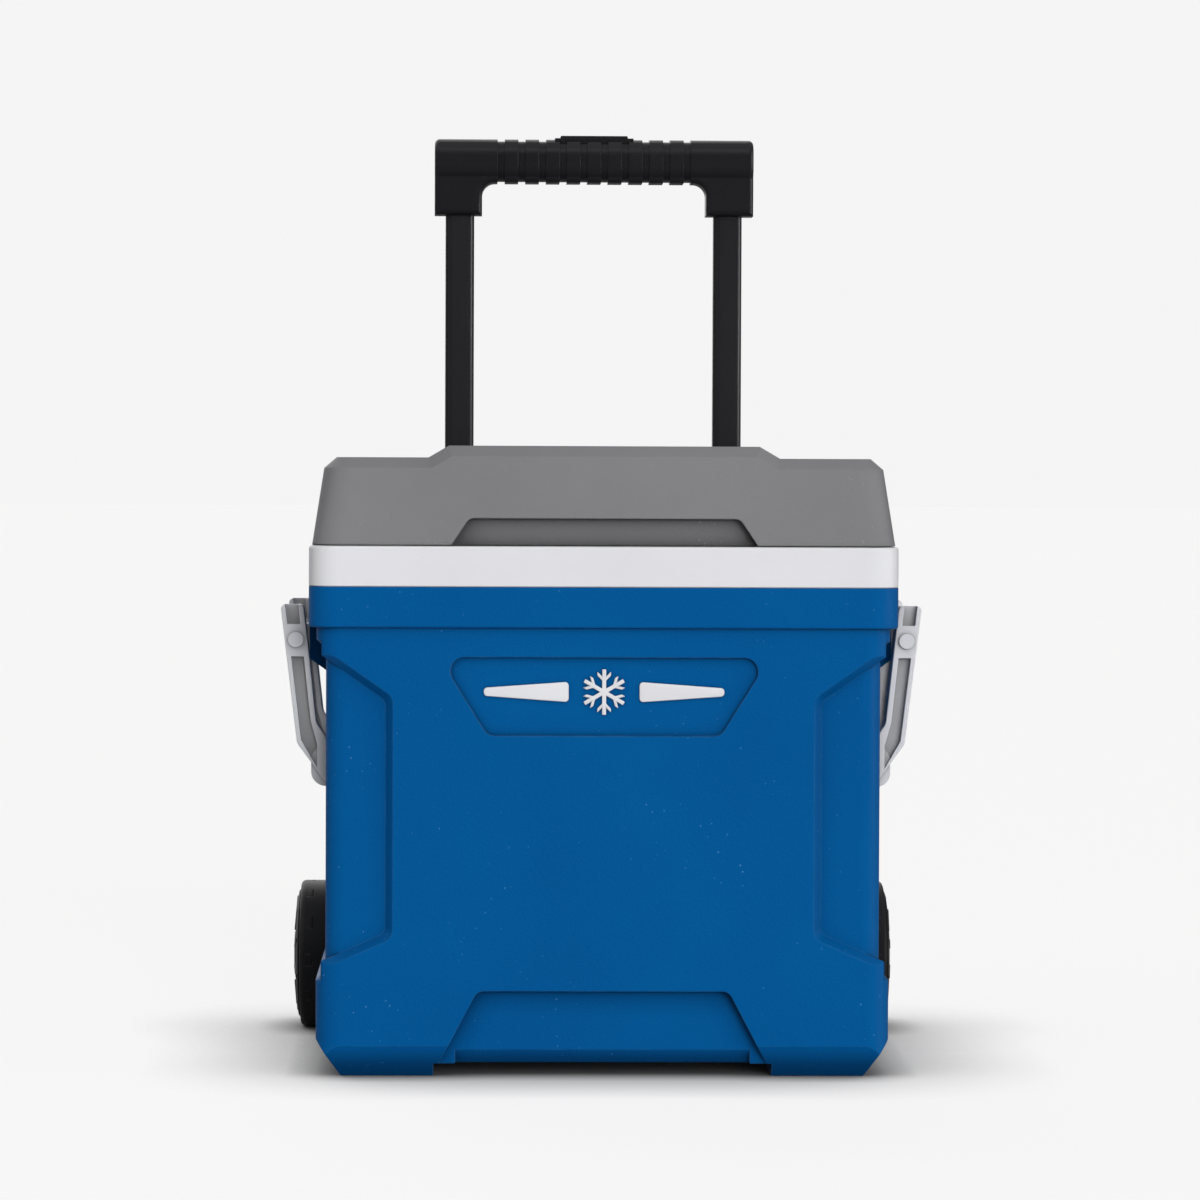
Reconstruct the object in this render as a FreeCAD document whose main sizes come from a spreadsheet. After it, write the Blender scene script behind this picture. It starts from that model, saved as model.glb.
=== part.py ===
import FreeCAD, Part
import math
import os
import re
import Sketcher

# A hard cooler on two wheels with a telescoping pull handle, a hinged lid and two side bail handles.
# X runs to the right, Y runs to the back and Z runs up. Z is zero on the ground.
# Every y below is measured from the middle of the tub's rim, and the helpers add the tub's own
# offset, so that the whole cooler's box is centred on the origin.

doc = FreeCAD.newDocument("Cooler")
sheet = doc.addObject("Spreadsheet::Sheet", "Sizes")

# Driving dimensions in millimetres, and angles in degrees: name, value, what it is.
DRIVING = [
    ("rim_wide", 376, "tub rim, side to side"),
    ("rim_deep", 300, "tub rim, front to back"),
    ("rim_top", 312, "ground to the top of the blue rim"),
    ("rim_tall", 26, "height of the rim band"),
    ("rim_corner", 18, "corner radius of the rim in plan"),
    ("rim_step", 5, "the rim stands this far out over the sides"),
    ("shield_step", 3, "the rim stands this far out over the front"),
    ("column_sink", 6, "the corner columns lie this far behind the front shield"),
    ("column_corner", 13, "corner radius of the columns in plan"),
    ("band_tall", 14, "full-width band under the rim, its slope included"),
    ("foot_tall", 67, "full-width band round the feet, its slope included"),
    ("shield_half", 134, "half width of the front shield between its shoulders"),
    ("shield_low", 88.5, "lower shoulder corners of the shield"),
    ("shield_high", 242, "upper shoulder corners of the shield"),
    ("shield_round", 10, "radius at the shield's shoulders"),
    ("shield_slope", 38, "slope of the shield's edge"),
    ("base_up", 8, "ground to the underside of the tub"),
    ("floor_thick", 7, "thickness of the tub's base"),
    ("shell_wall", 3, "wall of the outer shell"),
    ("arch_half", 80, "half width of the arch between the front feet, at its top"),
    ("arch_foot", 109, "half width of the arch at the ground"),
    ("arch_top", 55, "top of the arch"),
    ("arch_deep", 9, "depth of the arch"),
    ("foot_long", 62, "front feet, front to back"),
    ("foot_bevel_up", 23.5, "height of the slanted outer side of a foot"),
    ("foot_bevel_in", 16, "width of the slanted outer side of a foot"),
    ("toe_up", 20, "height of the slanted front of a foot"),
    ("toe_in", 12, "depth of the slanted front of a foot"),
    ("badge_top", 267.5, "top of the badge recess"),
    ("badge_low", 217.5, "bottom of the badge recess"),
    ("badge_half_top", 105, "half width of the badge recess at its top"),
    ("badge_half_low", 74, "half width of the badge recess at its bottom"),
    ("badge_sink", 3, "depth of the badge recess"),
    ("badge_round", 9, "corner radius of the badge recess"),
    ("emblem_radius", 14.5, "radius of the snowflake"),
    ("emblem_bar", 2.6, "width of the snowflake's arms"),
    ("emblem_thick", 1.4, "thickness of the emblem"),
    ("wing_long", 54, "length of each bar beside the snowflake"),
    ("wing_tall", 13, "height of each bar beside the snowflake"),
    ("collar_tall", 26, "height of the white collar"),
    ("liner_wall", 2.5, "wall of the liner"),
    ("brim", 30, "width of the collar's top, from its edge to the cavity"),
    ("liner_slope", 2.2, "draught of the liner"),
    ("liner_floor", 45, "ground to the underside of the liner"),
    ("liner_round", 22, "corner radius of the cavity in plan"),
    ("seam", 0.2, "space between foam and the skins round it"),
    ("lid_gap", 0.6, "shadow gap between the collar and the lid"),
    ("lid_inset", 2, "the lid is this much narrower than the rim on each side"),
    ("lid_tall", 55.5, "height of the lid's side parts"),
    ("lid_slope", 8.6, "slope of the lid's sides"),
    ("crown_tall", 7.6, "height of the raised middle of the lid"),
    ("crown_half", 99, "half width of the raised middle at its top"),
    ("crown_foot", 112, "half width of the raised middle at its foot"),
    ("lid_wall", 3, "wall of the lid"),
    ("lid_bevel", 7, "bevel round the lid's top"),
    ("lift_half_low", 98, "half width of the lift recess at its bottom"),
    ("lift_half_top", 86, "half width of the lift recess at its top"),
    ("lift_tall", 17, "height of the lift recess"),
    ("lift_deep", 9, "depth of the lift recess"),
    ("plug_gap", 6, "space between the lid's plug and the cavity"),
    ("plug_tall", 13, "the lid's plug reaches this far into the cavity"),
    ("hinge_half", 40, "half length of the lid hinge"),
    ("knuckle_half", 23.5, "half length of the lid's own knuckle"),
    ("knuckle_radius", 4.5, "radius of the hinge knuckles"),
    ("hinge_pin_radius", 2, "radius of the hinge pin"),
    ("hinge_back", 3, "the hinge line lies this far behind the rim"),
    ("leaf_thick", 2.5, "thickness of the hinge leaves"),
    ("wheel_radius", 50.5, "radius of a wheel"),
    ("wheel_wide", 30, "width of a wheel"),
    ("wheel_back", 146, "the axle lies this far behind the middle of the rim"),
    ("wheel_out", 171.6, "inner face of a wheel, from the middle"),
    ("tyre_thick", 9, "thickness of a tyre"),
    ("cap_radius", 44, "radius of the bulged wheel cap"),
    ("cap_bulge", 4.4, "the wheel cap stands this far out"),
    ("axle_radius", 4, "radius of the axle"),
    ("bush_radius", 6.5, "outer radius of a wheel bush"),
    ("running_fit", 0.06, "radial clearance of a running fit"),
    ("well_gap", 5, "space round a wheel in its well"),
    ("step_y", 118, "rear face of the tub behind the wheels"),
    ("step_top", 112, "top of the step behind the wheels"),
    ("tube_apart", 186.8, "handle tubes, centre to centre"),
    ("tube_back", 180, "handle tubes lie this far behind the middle of the rim"),
    ("tube_wide", 20, "handle tube, side to side"),
    ("tube_deep", 14, "handle tube, front to back"),
    ("tube_round", 5, "corner radius of a handle tube"),
    ("tube_wall", 1.2, "wall of a handle tube"),
    ("guide_fit", 0.3, "space between a handle tube and its guide"),
    ("guide_wall", 2.7, "wall of a guide tube"),
    ("guide_low", 30, "ground to the lower end of the guides"),
    ("guide_over", 18, "the guides reach this far over the rim"),
    ("travel", 226, "travel of the handle"),
    ("tube_hold", 60, "length of tube that stays in the guide when the handle is up"),
    ("grip_rest", 7, "space between the lowered grip and the guides"),
    ("grip_wide", 222, "grip, side to side"),
    ("grip_tall", 53, "grip, with its legs"),
    ("bar_tall", 30.5, "height of the grip's roll"),
    ("bar_deep", 32, "depth of the grip's roll"),
    ("bar_round", 11, "radius of the grip's roll"),
    ("leg_wide", 33, "width of a grip leg"),
    ("leg_deep", 27, "depth of a grip leg"),
    ("ring_pitch", 14.4, "grip rings, from one to the next"),
    ("ring_wide", 5, "width of a grip ring groove"),
    ("ring_sink", 1.4, "depth of a grip ring groove"),
    ("button_half", 23.5, "half width of the release button"),
    ("button_deep", 12, "depth of the release button"),
    ("button_proud", 2.8, "the button stands this far over the grip"),
    ("press", 4, "travel of the button"),
    ("bezel_wide", 3.5, "width of the frame round the button"),
    ("spring_radius", 4.2, "radius of the button spring, at the middle of its wire"),
    ("wire_radius", 0.6, "radius of the spring's wire"),
    ("spring_turns", 4, "turns of the spring"),
    ("rod_radius", 2, "radius of a release rod"),
    ("lock_tall", 26, "height of a lock housing"),
    ("lock_radius", 2.5, "radius of a lock pin"),
    ("lock_move", 3, "travel of a lock pin"),
    ("bail_out", 10, "the bail pivots lie this far outside the rim"),
    ("bail_low", 10, "the bail pivots lie this far under the rim's lower edge"),
    ("arm_out", 10, "a bail arm's top reaches this far outside its pivot"),
    ("arm_in", 5, "a bail arm's top reaches this far inside its pivot"),
    ("lean_out", 0.121, "lean of a bail arm's outer side, as a slope"),
    ("lean_in", 0.11, "lean of a bail arm's inner side, as a slope"),
    ("arm_wide", 18, "bail arm, front to back"),
    ("arm_inner", 62.5, "inner face of a bail arm, from the middle"),
    ("arm_up", 22.7, "a bail arm reaches this far over its pivot"),
    ("arm_down", 84, "depth of a bail, pivot to the middle of its grip"),
    ("arm_lean", 20, "the bail's grip lies this far inside its pivots"),
    ("flange", 3, "thickness of the bail arm's flanges"),
    ("web_sink", 6.5, "depth of the hollow between the flanges"),
    ("hold_wide", 20, "bail grip, side to side"),
    ("hold_tall", 26, "bail grip, height"),
    ("hold_round", 9.5, "corner radius of the bail grip"),
    ("hold_inset", 3, "the bail grip ends this far inside the arms' outer faces"),
    ("pivot_radius", 3, "radius of a bail pivot pin"),
    ("swing_gap", 0.6, "space round a bail's swing"),
    ("pad_out", 1.6, "the bail pads stand this far outside the rim"),
    ("pad_tall", 32, "height of a bail pad"),
    ("scoop_in", 13, "depth of the scoop behind a bail grip"),
    ("screw_radius", 1.6, "radius of a screw's shank"),
    ("head_radius", 3.2, "radius of a screw's head"),
    ("head_tall", 2, "height of a screw's head"),
]

# Sizes that follow from the driving ones.
WORKED_OUT = {
    "mid": "-(wheel_back + wheel_radius - rim_deep / 2) / 2",
    "half": "rim_wide / 2",
    "full": "half - rim_step",
    "column": "full - column_sink",
    "deep": "rim_deep / 2",
    "face": "deep - shield_step",
    "column_face": "face - column_sink",
    "rim_low": "rim_top - rim_tall",
    "band_low": "rim_low - band_tall",
    "wall_x": "column - shell_wall",
    "wall_y": "column_face - shell_wall",
    "void_low": "base_up + floor_thick",
    "well_x": "wheel_out - 3.6",
    "well_reach": "wheel_radius + well_gap",
    "emblem_z": "(badge_top + badge_low) / 2 + 3",
    "floor_y": "face - badge_sink",
    "collar_top": "rim_top + collar_tall",
    "basin_x": "half - brim",
    "basin_y": "deep - brim",
    "lid_low": "collar_top + lid_gap",
    "lid_x": "half - lid_inset",
    "lid_y": "deep - lid_inset",
    "shoulder": "lid_low + lid_tall",
    "crown": "shoulder + crown_tall",
    "lid_void_x": "lid_x - 8 - 2 * lid_wall",
    "lid_void_y": "lid_y - 8 - 2 * lid_wall",
    "lid_void_top": "shoulder - leaf_thick - lid_wall",
    "plug_x": "basin_x - plug_gap",
    "plug_y": "basin_y - plug_gap",
    "hinge_y": "deep + hinge_back",
    "leaf_low": "shoulder - leaf_thick + 0.5",
    "leaf_front": "lid_y - 20",
    "tube_x": "tube_apart / 2",
    "guide_wide": "tube_wide + 2 * guide_fit + 2 * guide_wall",
    "guide_deep": "tube_deep + 2 * guide_fit + 2 * guide_wall",
    "guide_top": "rim_top + guide_over",
    "tube_low": "guide_top - tube_hold",
    "grip_low": "guide_top + travel + grip_rest",
    "grip_top": "grip_low + grip_tall",
    "bar_low": "grip_top - bar_tall",
    "tube_top": "bar_low + 4.5",
    "leg_x": "grip_wide / 2 - leg_wide",
    "yoke_low": "tube_top + 6",
    "spring_low": "bar_low + 2.5",
    "lock_z": "tube_low + lock_tall / 2",
    "tyre_in": "wheel_radius - tyre_thick",
    "hub_end": "wheel_out + wheel_wide",
    "bush_end": "hub_end - 8",
    "beam_end": "wheel_out - 2.8",
    "pivot_x": "half + bail_out",
    "pivot_z": "rim_low - bail_low",
    "arm_top": "pivot_z + arm_up",
    "arm_outer": "arm_inner + arm_wide",
    "hold_x": "pivot_x - arm_lean",
    "hold_z": "pivot_z - arm_down + 2",
    "swing": "sqrt(arm_up * arm_up + arm_out * arm_out)",
    "pocket_x": "pivot_x - swing - swing_gap",
    "pocket_wide": "arm_wide + 2",
    "pad_x": "half + pad_out",
    "pad_y": "arm_inner - 2.5",
    "scoop_x": "column - scoop_in",
    "scoop_half": "arm_outer + 8",
    "hold_low": "hold_z - hold_tall / 2",
    "hold_high": "hold_z + hold_tall / 2",
}


def write_sizes():
    """Put each driving dimension in the sheet, under its own alias."""
    for row, (name, value, note) in enumerate(DRIVING, start=1):
        sheet.set("A%d" % row, str(value))
        sheet.setAlias("A%d" % row, name)
        sheet.set("B%d" % row, note)
    doc.recompute()


def bound(formula):
    """Point each name in a formula at its cell, or at the formula that it stands for."""
    driving = {name for name, value, note in DRIVING}

    def swap(found):
        name = found.group(0)
        if name in WORKED_OUT:
            return "(" + bound(WORKED_OUT[name]) + ")"
        return "Sizes." + name if name in driving else name

    return re.sub(r"[a-z_]+", swap, str(formula))


def size(formula):
    """The present value of a formula."""
    return float(sheet.evalExpression(bound(formula)))


def back(formula):
    """A y measured from the middle of the rim, as a y of the whole cooler."""
    return "mid + (%s)" % formula


def negative(formula):
    return "-(%s)" % formula


def vector(x, y, z):
    return FreeCAD.Vector(size(x), size(y), size(z))


def settle(item):
    doc.recompute()
    if "Invalid" in item.State or "Error" in item.State:
        raise RuntimeError("%s could not be made" % item.Name)
    return item


def prism(name, plane, points, start, length, taper="0"):
    """A body padded from a closed outline. Outlines on XZ hold (x, z) and run back from y = start,
    outlines on YZ hold (y, z) and run right from x = start, and outlines on XY run up from z."""
    body = doc.addObject("PartDesign::Body", name)
    sketch = body.newObject("Sketcher::SketchObject", name + "_outline")
    role = plane + "_Plane"
    origin_plane = next(item for item in body.Origin.OriginFeatures if item.Role == role)
    sketch.AttachmentSupport = (origin_plane, [""])
    sketch.MapMode = "FlatFace"
    place = {"XY": start, "XZ": negative(back(start)), "YZ": start}[plane]
    sketch.setExpression("AttachmentOffset.Base.z", bound(place))
    across = {"XY": lambda p: (p[0], back(p[1])), "XZ": lambda p: p, "YZ": lambda p: (back(p[0]), p[1])}
    corners = [across[plane](point) for point in points]
    draw_outline(sketch, corners)
    pad = body.newObject("PartDesign::Pad", name + "_pad")
    pad.Profile = sketch
    pad.Reversed = plane == "XZ"
    pad.setExpression("Length", bound(length))
    pad.setExpression("TaperAngle", bound(taper))
    return settle(body)


def draw_outline(sketch, corners):
    """Close straight lines round the corners, and hold each corner by its two distances."""
    spots = [FreeCAD.Vector(size(a), size(b), 0) for a, b in corners]
    for index, spot in enumerate(spots):
        sketch.addGeometry(Part.LineSegment(spot, spots[(index + 1) % len(spots)]))
    for index in range(len(spots)):
        following = (index + 1) % len(spots)
        sketch.addConstraint(Sketcher.Constraint("Coincident", index, 2, following, 1))
    for index, (corner, spot) in enumerate(zip(corners, spots)):
        for kind, formula, value in (("DistanceX", corner[0], spot.x), ("DistanceY", corner[1], spot.y)):
            number = sketch.addConstraint(Sketcher.Constraint(kind, -1, 1, index, 1, value))
            sketch.setExpression("Constraints[%d]" % number, bound(formula))


def dress(body, kind, amount, chosen):
    """Round ("Fillet") or bevel ("Chamfer") the chosen edges of a body."""
    doc.recompute()
    base = body.Tip
    names = ["Edge%d" % (i + 1) for i, edge in enumerate(base.Shape.Edges) if chosen(edge)]
    if not names:
        raise RuntimeError("no edges to dress on %s" % body.Name)
    feature = body.newObject("PartDesign::" + kind, "%s_%s" % (body.Name, kind.lower()))
    feature.Base = (base, names)
    feature.setExpression("Radius" if kind == "Fillet" else "Size", bound(amount))
    settle(feature)
    return settle(body)


def soften(name, base, radius, chosen):
    """Round the chosen edges of a shape that booleans made."""
    doc.recompute()
    amount = size(radius)
    numbers = [i + 1 for i, edge in enumerate(base.Shape.Edges) if chosen(edge)]
    fillet = doc.addObject("Part::Fillet", name)
    fillet.Base = base
    fillet.Edges = [(number, amount, amount) for number in numbers]
    return settle(fillet)


def bevel(name, base, amount, chosen):
    """Bevel the chosen edges of a shape that booleans made, or round them where no bevel fits."""
    doc.recompute()
    wide = size(amount)
    numbers = [i + 1 for i, edge in enumerate(base.Shape.Edges) if chosen(edge)]
    for kind in ("Part::Chamfer", "Part::Fillet"):
        cut_edges = doc.addObject(kind, name)
        cut_edges.Base = base
        cut_edges.Edges = [(number, wide, wide) for number in numbers]
        doc.recompute()
        if cut_edges.isValid() and cut_edges.Shape.Solids and cut_edges.Shape.isValid():
            return settle(cut_edges)
        doc.removeObject(cut_edges.Name)
    raise RuntimeError("%s could not be bevelled or rounded" % name)


def runs(edge, axis, least=0.85):
    """Whether an edge is straight and runs mostly along an axis."""
    if len(edge.Vertexes) < 2:
        return False
    span = edge.Vertexes[1].Point - edge.Vertexes[0].Point
    if span.Length < 0.01 or abs(span.Length - edge.Length) > 0.01:
        return False
    return abs(getattr(span, axis)) / span.Length > least


def level(edge, axis, place):
    """Whether a whole edge lies at one place along an axis."""
    box = edge.BoundBox
    low, high = getattr(box, axis.upper() + "Min"), getattr(box, axis.upper() + "Max")
    return abs(low - place) < 0.05 and abs(high - place) < 0.05


def box(name, x, y, z):
    """A block between pairs of x, y and z."""
    block = doc.addObject("Part::Box", name)
    block.setExpression("Length", bound("(%s) - (%s)" % (x[1], x[0])))
    block.setExpression("Width", bound("(%s) - (%s)" % (y[1], y[0])))
    block.setExpression("Height", bound("(%s) - (%s)" % (z[1], z[0])))
    block.setExpression("Placement.Base.x", bound(x[0]))
    block.setExpression("Placement.Base.y", bound(back(y[0])))
    block.setExpression("Placement.Base.z", bound(z[0]))
    return settle(block)


def rod(name, axis, start, end, across, radius):
    """A cylinder along an axis. The pair across is (y, z), (x, z) or (x, y)."""
    piece = doc.addObject("Part::Cylinder", name)
    piece.setExpression("Radius", bound(radius))
    piece.setExpression("Height", bound("(%s) - (%s)" % (end, start)))
    turn = {"x": (0, 1, 0, 90), "y": (1, 0, 0, -90), "z": (0, 0, 1, 0)}[axis]
    piece.Placement.Rotation = FreeCAD.Rotation(FreeCAD.Vector(*turn[:3]), turn[3])
    spot = {"x": (start, across[0], across[1]), "y": (across[0], start, across[1]),
            "z": (across[0], across[1], start)}[axis]
    piece.setExpression("Placement.Base.x", bound(spot[0]))
    piece.setExpression("Placement.Base.y", bound(back(spot[1])))
    piece.setExpression("Placement.Base.z", bound(spot[2]))
    return settle(piece)


def fuse(name, *items):
    whole = doc.addObject("Part::MultiFuse", name)
    whole.Shapes = list(items)
    whole.Refine = True
    return settle(whole)


def cut(name, base, *tools):
    """Take the tools out of the base, one after another."""
    left = base
    for number, tool in enumerate(tools):
        step = doc.addObject("Part::Cut", name if number == 0 else "%s_%d" % (name, number))
        step.Base = left
        step.Tool = tool
        step.Refine = True
        left = settle(step)
    return left


def common(name, *items):
    shared = doc.addObject("Part::MultiCommon", name)
    shared.Shapes = list(items)
    shared.Refine = True
    return settle(shared)


def group(name, items):
    """Several separate solids that make one node."""
    whole = doc.addObject("Part::Compound", name)
    whole.Links = list(items)
    return settle(whole)


def mirrored(name, source, axis="x"):
    """The same piece on the other side of the cooler's middle plane."""
    other = doc.addObject("Part::Mirroring", name)
    other.Source = source
    other.Normal = FreeCAD.Vector(1, 0, 0) if axis == "x" else FreeCAD.Vector(0, 1, 0)
    if axis == "y":
        other.setExpression("Base.y", bound("mid"))
    return settle(other)


def both(name, source):
    """A piece and its mirror image, as one tool or group."""
    return group(name, [source, mirrored(name + "_other", source)])


def rectangle(x, y):
    """Corners of a rectangle between pairs of x and y."""
    return [(x[0], y[0]), (x[1], y[0]), (x[1], y[1]), (x[0], y[1])]


def centred(half_x, half_y):
    return rectangle((negative(half_x), half_x), (negative(half_y), half_y))


def rounded_block(name, half_x, half_y, low, high, radius, taper="0"):
    """A block about the middle of the rim, with its upright edges rounded."""
    tall = "(%s) - (%s)" % (high, low)
    block = prism(name, "XY", centred(half_x, half_y), low, tall, taper)
    return dress(block, "Fillet", radius, lambda edge: runs(edge, "z"))


def symmetric(points):
    """An outline's right half, from bottom to top, and its mirror image, as one closed outline."""
    left = [(negative(x), z) for x, z in reversed(points)]
    return points + left


finished = []


def keep(node, item):
    """Name a finished sub-part and list it for export."""
    item.Label = node
    finished.append(item)
    return item


write_sizes()


# ---- Tub: outer shell, liner and foam ----

def tub_form():
    """The tub's outer form: columns, front shield, bands, rim, pads and feet."""
    columns = rounded_block("columns", "column", "column_face", "base_up", "rim_top", "column_corner")
    band = rounded_block("band", "full", "face", "band_low", "rim_low + 1", "rim_corner - 2")
    dress(band, "Chamfer", "column_sink", lambda edge: level(edge, "z", size("band_low")))
    foot = rounded_block("foot", "full", "face", "base_up", "foot_tall", "rim_corner - 2")
    dress(foot, "Chamfer", "column_sink", lambda edge: level(edge, "z", size("foot_tall")))
    rim = rounded_block("rim", "half", "deep", "rim_low", "rim_top", "rim_corner")
    dress(rim, "Fillet", "1.5", lambda edge: level(edge, "z", size("rim_low")))
    return fuse("tub_form", columns, band, foot, rim, shield_form(), toes(), pads())


def shield_form():
    """The raised front panel, which widens in slanted shoulders to the bands above and below."""
    slant = "(full - shield_half) * 0.7"
    low_slant = "(full - shield_half) * 0.44"
    right = [("full", "base_up"), ("full", "shield_low - %s" % low_slant), ("shield_half", "shield_low"),
             ("shield_half", "shield_high"), ("full", "shield_high + %s" % slant), ("full", "rim_low + 1")]
    outline = symmetric(right)
    panel = prism("panel", "XZ", outline, "-face", "column_sink + 0.2", "shield_slope")
    shoulder_x = size("shield_half")

    def shoulder(edge):
        middle = edge.CenterOfMass
        inside = abs(abs(middle.x) - shoulder_x) < size("column_sink") + 1
        return runs(edge, "y", 0.5) and inside and size("foot_tall") < middle.z < size("band_low")

    dress(panel, "Fillet", "shield_round", shoulder)
    limit = rounded_block("panel_limit", "full", "face", "base_up", "rim_low + 1", "rim_corner - 2")
    return common("shield", panel, limit)


def toes():
    """The two front feet that stand under the tub."""
    foot = box("toe", ("arch_foot - 12", "full"), ("-face", "foot_long - face"), ("0", "base_up"))
    return both("toe_pair", foot)


def pads():
    """The raised pads between the bail arms, slanted at their lower edge."""
    outline = [("wall_x", "rim_low - pad_tall"), ("column", "rim_low - pad_tall"),
               ("pad_x", "rim_low - pad_tall + 9"), ("pad_x", "rim_low"), ("wall_x", "rim_low")]
    pad = prism("pad", "XZ", outline, "-pad_y", "2 * pad_y")
    return both("pad_pair", pad)


def foot_cuts():
    """What is cut away round the feet: the arch, the slanted sides and toes, and the underside."""
    arch_outline = symmetric([("arch_foot + 1", "-0.6"), ("arch_foot", "0"), ("arch_half", "arch_top")])
    arch = prism("arch", "XZ", arch_outline, "-face - 1", "arch_deep + 1")
    dress(arch, "Fillet", "7", lambda e: runs(e, "y") and e.CenterOfMass.z > size("arch_top") - 1)
    side = prism("foot_side", "XZ", [("full - foot_bevel_in", "0"), ("full + 1", "-1"),
                                     ("full + 1", "foot_bevel_up"), ("full", "foot_bevel_up")],
                 "-deep", "2 * deep")
    toe = prism("toe_front", "YZ", [("toe_in - face", "0"), ("-face", "toe_up"), ("-face - 1", "toe_up"),
                                    ("-face - 1", "-1")], "-half", "2 * half")
    under = box("under", ("1 - arch_foot", "arch_foot - 1"), ("-deep", "deep"), ("-1", "base_up"))
    edge = prism("base_edge", "YZ", [("arch_deep - face - 1", "0"), ("arch_deep - face - 1", "base_up + 9"),
                                     ("arch_deep - face", "base_up + 9"), ("arch_deep - face + 7", "base_up"),
                                     ("arch_deep - face + 7", "0")], "-arch_half - 14", "2 * arch_half + 28")
    return [arch, both("foot_sides", side), toe, under, edge]


def well(name, gap):
    """The space for a wheel in the tub's rear corner, grown by a gap."""
    reach = "(well_reach + %s)" % gap
    inner = "well_x - %s" % gap
    turn = rod(name + "_turn", "x", inner, "half + 2", ("wheel_back", "wheel_radius"), reach)
    below = box(name + "_below", (inner, "half + 2"), ("wheel_back - %s" % reach, "deep + 2"),
                ("-1", "wheel_radius"))
    return both(name, fuse(name + "_one", turn, below))


def step(name, gap):
    """The space behind the tub for the axle carrier, grown by a gap."""
    return box(name, ("-half - 2", "half + 2"), ("step_y - %s" % gap, "deep + 2"), ("-1", "step_top + %s" % gap))


def arm_pockets(name, gap):
    """Pockets in the rim for the upper ends of the bail arms, grown by a gap."""
    tall = "(swing + swing_gap)"
    pocket = box(name + "_one", ("pocket_x - %s" % gap, "pad_x + 1"),
                 ("arm_inner - 1 - %s" % gap, "arm_outer + 1 + %s" % gap),
                 ("pivot_z - %s - %s" % (tall, gap), "pivot_z + %s + %s" % (tall, gap)))
    pair = group(name + "_pair", [pocket, mirrored(name + "_front", pocket, "y")])
    return both(name, pair)


def scoops(name, gap):
    """Hollows in the sides behind the bail grips, for the fingers, grown by a gap."""
    outline = [("full + 3", "hold_low - 34 - %s" % gap), ("column", "hold_low - 31 - %s" % gap),
               ("scoop_x - %s" % gap, "hold_low - 15 - %s" % gap), ("scoop_x - %s" % gap, "hold_high + 13 + %s" % gap),
               ("column", "hold_high + 27 + %s" % gap), ("full + 3", "hold_high + 30 + %s" % gap)]
    half = "scoop_half + %s" % gap
    return both(name, prism(name + "_one", "XZ", outline, "-(%s)" % half, "2 * (%s)" % half))


def badge_recess():
    outline = symmetric([("badge_half_low", "badge_low"), ("badge_half_top", "badge_top")])
    recess = prism("badge_recess", "XZ", outline, "-face - 1", "badge_sink + 1")
    return dress(recess, "Fillet", "badge_round", lambda edge: runs(edge, "y"))


def tub_void(name, gap):
    """The space inside the tub's shell, which the foam fills, made smaller by a gap."""
    room = rounded_block(name + "_room", "wall_x - %s" % gap, "wall_y - shell_wall - %s" % gap,
                         "void_low + %s" % gap, "rim_top - %s" % gap, "column_corner - shell_wall")
    wall = "(shell_wall + %s)" % gap
    arch_back = box(name + "_arch", ("-arch_foot - 6 - %s" % gap, "arch_foot + 6 + %s" % gap),
                    ("-deep", "arch_deep - face + %s" % wall), ("0", "arch_top + %s" % wall))
    return cut(name, room, well(name + "_wells", wall), step(name + "_step", wall),
               arm_pockets(name + "_pockets", wall), scoops(name + "_scoops", wall), arch_back)


def basin(name, wall):
    """The cavity's form, wider at the top, with a wall added all round."""
    top = "collar_top"
    low = "liner_floor + liner_wall - %s" % wall
    points = centred("basin_x + %s" % wall, "basin_y + %s" % wall)
    form = doc_basin(name, points, top, "%s - (%s)" % (top, low))
    dress(form, "Fillet", "liner_round + %s" % wall, lambda edge: runs(edge, "z"))
    return dress(form, "Fillet", "10 + %s" % wall, lambda edge: level(edge, "z", size(low)))


def doc_basin(name, points, top, deep_down):
    """A block that hangs from an outline and narrows downwards."""
    form = prism(name, "XY", points, top, deep_down, "-liner_slope")
    form.Group[-1].Reversed = True
    return settle(form)


outer = cut("outer", tub_form(), *foot_cuts(), well("wells", "0"), step("rear_step", "0"),
            arm_pockets("pockets", "0"), scoops("scoops", "0"), badge_recess(), tub_void("void", "0"))


def liner_form():
    """The white collar and the cavity's walls, in one moulding."""
    collar = rounded_block("collar", "half", "deep", "rim_top", "collar_top", "rim_corner")
    dress(collar, "Fillet", "1.2", lambda edge: level(edge, "z", size("rim_top")))
    dress(collar, "Fillet", "2", lambda edge: level(edge, "z", size("collar_top")))
    return fuse("liner_form", collar, basin("basin_outside", "liner_wall"))


liner = cut("liner", liner_form(), basin("cavity", "0"))
foam = cut("foam", tub_void("foam_room", "seam"), basin("foam_hollow", "(liner_wall + seam)"))


# ---- Badge: a plain snowflake between two bars ----

def turned(points, angle):
    """Corners (x, z) about the emblem's middle, turned by an angle in degrees."""
    rad = math.radians(angle)
    c, s = "%.6f" % math.cos(rad), "%.6f" % math.sin(rad)
    return [("(%s) * %s - (%s) * %s" % (x, c, z, s), "emblem_z + (%s) * %s + (%s) * %s" % (x, s, z, c))
            for x, z in points]


def plate(name, points):
    """A thin plate that stands on the floor of the badge recess."""
    return prism(name, "XZ", points, "-floor_y - emblem_thick", "emblem_thick")


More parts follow.
